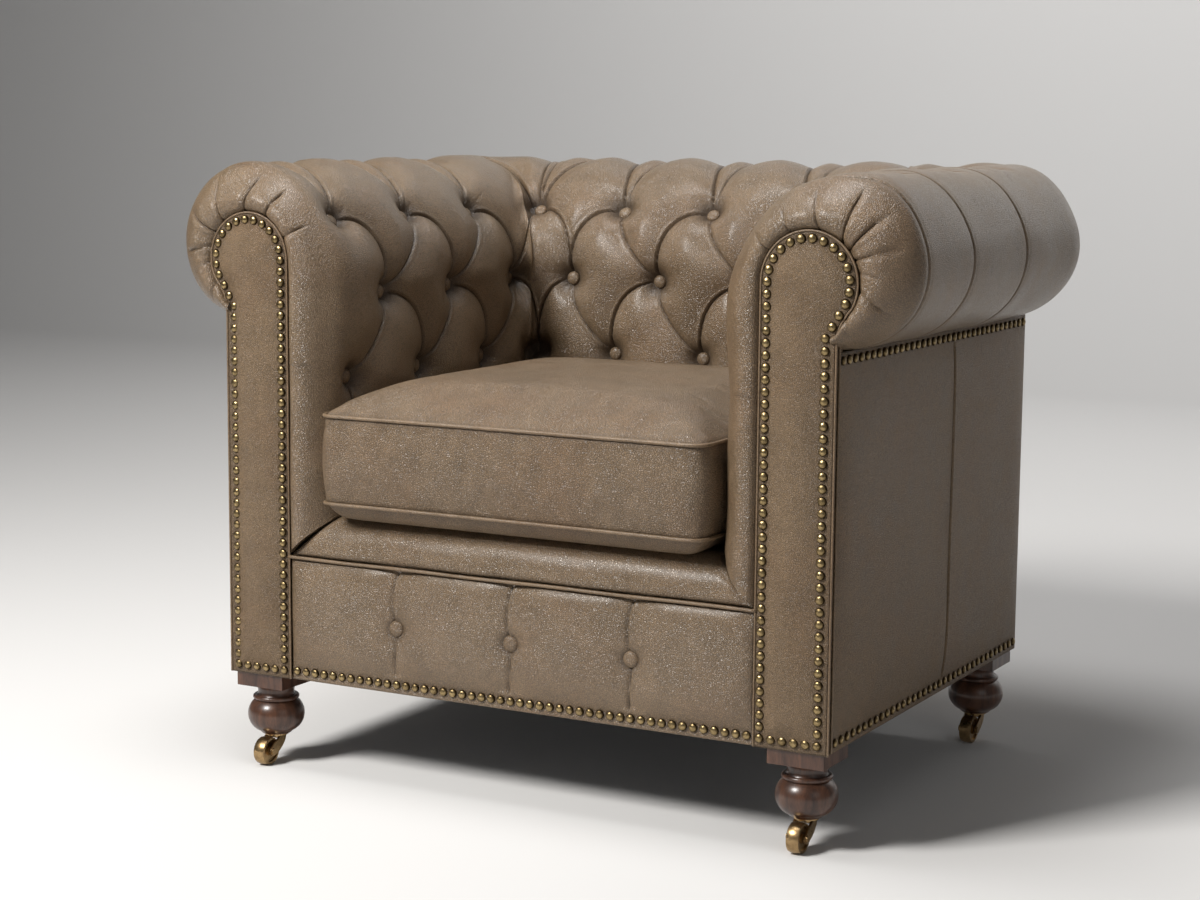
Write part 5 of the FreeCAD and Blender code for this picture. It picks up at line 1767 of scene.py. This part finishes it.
def soft_copy(name, node, body, voxel, material, fill, seed, unrest=0.0006):
    """A rounded and slightly uneven copy of a CAD node, which takes the node's place."""
    smooth_rounds, wave_count = 3, 5
    obj = bpy.data.objects.new(name, nodes[node].data.copy())
    bpy.context.scene.collection.objects.link(obj)
    obj.data.materials.clear()
    weld(obj)
    only(obj)
    obj.data.remesh_voxel_size = voxel
    bpy.ops.object.voxel_remesh()
    smooth = obj.modifiers.new("soften", "SMOOTH")
    smooth.factor = 0.5
    smooth.iterations = smooth_rounds
    bpy.ops.object.modifier_apply(modifier=smooth.name)
    points = places_of(obj)
    draw = random.Random(seed)
    push = np.zeros(len(points))
    for _ in range(wave_count):
        wave = np.array([draw.uniform(-40, 40) for _ in range(3)])
        push += np.sin(points @ wave + draw.uniform(0, 6.3))
    move_points(obj, points + normals_of(obj) * (push[:, None] * unrest / 3 - unrest))
    obj.data.shade_smooth()
    obj.data.materials.clear()
    obj.data.materials.append(material)
    dress(obj, body, node, fill)


for side, seed in (("left_arm", 2), ("right_arm", 3), ("back", 4)):
    soft_copy(side + "_foam_block", side + "_foam", "root", 0.006, foam_yellow, 0.9, seed)
soft_copy("cushion_foam_core", "cushion_core", "cushion", 0.007, foam_yellow, 0.9, 5,
          unrest=0.0045)
soft_copy("deck_platform", "deck_pad", "root", 0.005, platform_cloth, 0.7, 6)

# Cloth under the seat and under the frame

cloth_step = 0.012
cloth_thickness = 0.0008


def spring_cloth():
    """The hessian over the springs, stretched between the rails."""
    inset, sag, sag_reach, ripple = 0.0005, 0.0008, 0.06, 0.0004
    low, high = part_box("spring_hessian")
    x = spread(low.x + inset, high.x - inset, cloth_step)
    y = spread(low.y + inset, high.y - inset, cloth_step)
    X, Y = np.meshgrid(x, y)
    edge = np.minimum(np.minimum(X - low.x, high.x - X), np.minimum(Y - low.y, high.y - Y))
    drop = sag * (1 - np.exp(-(edge / sag_reach))) + ripple * np.sin(41 * X) * np.sin(37 * Y)
    top = np.stack([X, Y, high.z - 0.0006 - drop], -1).reshape(-1, 3)
    under = top - np.array([0, 0, cloth_thickness])
    obj = new_mesh("spring_hessian_cloth", np.concatenate([top, under]), sheet_faces(*X.shape),
                   jute)
    face_outwards(obj)
    dress(obj, "root", "spring_hessian")


def dust_cloth():
    """The black cloth under the frame, cut out round the feet and folded in at its edge."""
    foot_inset, foot_width, foot_gap = 0.041, 0.0735, 0.0003
    sag, sag_reach, ripple = 0.0011, 0.08, 0.00025
    low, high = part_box("dust_cover")
    notch = foot_width / 2 + foot_gap
    cut_x = half_width - foot_inset - notch
    cut_front = foot_inset - middle_y + notch
    cut_back = body_depth - foot_inset - middle_y - notch

    def lines(*stops):
        return np.unique(np.concatenate([spread(a, b, cloth_step)
                                         for a, b in zip(stops, stops[1:])]))

    xs = lines(low.x, -cut_x, cut_x, high.x)
    ys = lines(low.y, cut_front, cut_back, high.y)
    z_top = high.z - 0.0001
    points, faces, index = [], [], {}

    def vertex(i, j, under):
        key = (i, j, under)
        if key not in index:
            x, y = xs[i], ys[j]
            edge = min(x - low.x, high.x - x, y - low.y, high.y - y)
            drop = sag * (1 - math.exp(-edge / sag_reach)) + ripple * math.sin(33 * x + 21 * y)
            index[key] = len(points)
            points.append((x, y, z_top - max(drop, 0) - (cloth_thickness if under else 0)))
        return index[key]

    def present(i, j):
        if not (0 <= i < len(xs) - 1 and 0 <= j < len(ys) - 1):
            return False
        x, y = (xs[i] + xs[i + 1]) / 2, (ys[j] + ys[j + 1]) / 2
        return not (abs(x) > cut_x and (y < cut_front or y > cut_back))

    for i in range(len(xs) - 1):
        for j in range(len(ys) - 1):
            if not present(i, j):
                continue
            square = [(i, j), (i + 1, j), (i + 1, j + 1), (i, j + 1)]
            faces.append([vertex(*c, False) for c in square])
            faces.append([vertex(*c, True) for c in reversed(square)])
            beyond = [(i, j - 1), (i + 1, j), (i, j + 1), (i - 1, j)]
            for k, cell in enumerate(beyond):
                if not present(*cell):
                    p, q = square[k], square[(k + 1) % 4]
                    faces.append([vertex(*q, False), vertex(*p, False), vertex(*p, True),
                                  vertex(*q, True)])
    obj = new_mesh("dust_cover_cloth", points, faces, cambric)
    face_outwards(obj)
    dress(obj, "root", "dust_cover")


spring_cloth()
dust_cloth()

# Materials on the CAD nodes that stay


def paint(names, material):
    """Gives CAD nodes one material."""
    for name in names:
        mesh = nodes[name].data
        if not mesh.materials:
            mesh.materials.append(material)
        for k in range(len(mesh.materials)):
            mesh.materials[k] = material


corner_names = ("front_left", "front_right", "rear_left", "rear_right")
paint([c + "_foot" for c in corner_names], walnut)
paint([c + part for c in corner_names for part in ("_caster_fork", "_caster_axle", "_caster_wheel")]
      + ["caster_sockets"], brass_caster)
paint(["seat_springs", "spring_clips", "foot_bolts"], steel_wire)
paint(["left_arm_board", "right_arm_board", "left_rear_post", "right_rear_post", "left_roll_rail",
       "right_roll_rail", "left_side_rail", "right_side_rail", "back_roll_rail", "back_rail",
       "front_rail", "tack_rails", "corner_blocks"], beech)

# Floor, backdrop, lights and camera


def studio_material():
    """Pale matt paint for the floor and the wall behind."""
    material = bpy.data.materials.new("studio_floor")
    material.use_nodes = True
    shader = material.node_tree.nodes["Principled BSDF"]
    shader.inputs["Base Color"].default_value = (0.66, 0.65, 0.64, 1)
    shader.inputs["Roughness"].default_value = 0.85
    return material


def select_edges(mesh, wanted):
    """Selects the edges of the object being edited whose two ends are both wanted."""
    cove = bmesh.from_edit_mesh(mesh)
    for edge in cove.edges:
        edge.select = all(wanted(v.co) for v in edge.verts)
    cove.select_flush_mode()
    bmesh.update_edit_mesh(mesh)


backdrop_y = 4.4
floor_half = (9, 8, 1)
wall_height = 7
near_wall = backdrop_y - 0.01
bpy.ops.mesh.primitive_plane_add(size=2, location=(0, backdrop_y - floor_half[1], 0))
floor = bpy.context.object
floor.name = "studio_floor"
floor.scale = floor_half
bpy.ops.object.transform_apply(location=True, scale=True)
bpy.ops.object.mode_set(mode="EDIT")
select_edges(floor.data, lambda place: place.y > near_wall)
bpy.ops.mesh.extrude_region_move(TRANSFORM_OT_translate={"value": (0, 0, wall_height)})
select_edges(floor.data, lambda place: place.y > near_wall and place.z < 0.01)
bpy.ops.mesh.bevel(offset=1.8, segments=20, affect="EDGES")
bpy.ops.object.mode_set(mode="OBJECT")
bpy.ops.object.shade_smooth()
floor.data.materials.append(studio_material())

world = bpy.context.scene.world or bpy.data.worlds.new("studio")
bpy.context.scene.world = world
world.use_nodes = True
world.node_tree.nodes.clear()
wn = Nodes(world.node_tree)
path_kind = wn.add("ShaderNodeLightPath")
soft_light = wn.add("ShaderNodeBackground", {"Color": (0.97, 0.98, 1.0, 1), "Strength": 0.09})
pale_view = wn.add("ShaderNodeBackground", {"Color": (0.86, 0.86, 0.86, 1), "Strength": 1.0})
both = wn.add("ShaderNodeMixShader", {0: path_kind.outputs["Is Camera Ray"],
                                      1: soft_light.outputs[0], 2: pale_view.outputs[0]})
wn.add("ShaderNodeOutputWorld", {"Surface": both.outputs[0]})


def softbox(name, place, aim, size, power, tint=(1, 1, 1)):
    """A rectangular lamp at a place, turned towards its aim."""
    lamp = bpy.data.lights.new(name, "AREA")
    lamp.shape = "RECTANGLE"
    lamp.size, lamp.size_y = size
    lamp.energy = power
    lamp.color = tint
    obj = bpy.data.objects.new(name, lamp)
    bpy.context.scene.collection.objects.link(obj)
    obj.location = place
    obj.rotation_euler = (Vector(aim) - Vector(place)).to_track_quat("-Z", "Y").to_euler()


softbox("key_light", (-1.2, -2.6, 2.6), (0, 0, 0.45), (0.9, 0.9), 132, (1.0, 0.985, 0.96))
softbox("top_light", (-0.2, -0.4, 3.0), (0, 0, 0.4), (1.1, 1.1), 47)
softbox("fill_light", (2.9, -2.0, 1.5), (0, 0, 0.45), (1.8, 1.8), 6, (1.0, 0.98, 0.95))
softbox("rear_light", (1.2, 2.8, 1.8), (0, 0, 0.5), (1.6, 1.6), 5, (1.0, 0.97, 0.93))
softbox("backdrop_light", (0, 2.6, 3.6), (0, 4.4, 0.6), (5.0, 1.0), 75)

camera_place = Vector((1.4847, -2.85875, 0.8620))
camera_aim = Vector((-0.0532, -0.04025, 0.4137))
camera_roll = math.radians(0.4575)
back_axis = (camera_place - camera_aim).normalized()
side_axis = (-back_axis).cross(Vector((0, 0, 1))).normalized()
up_axis = side_axis.cross(-back_axis)
x_axis = side_axis * math.cos(camera_roll) + up_axis * math.sin(camera_roll)
y_axis = up_axis * math.cos(camera_roll) - side_axis * math.sin(camera_roll)
camera_data = bpy.data.cameras.new("photo_camera")
camera_data.lens = 71.17
camera_data.sensor_width = 36.0
camera = bpy.data.objects.new("photo_camera", camera_data)
bpy.context.scene.collection.objects.link(camera)
turn = Matrix((x_axis, y_axis, back_axis)).transposed().to_4x4()
camera.matrix_world = Matrix.Translation(camera_place) @ turn
bpy.context.scene.camera = camera
bpy.context.scene.view_settings.view_transform = "Standard"
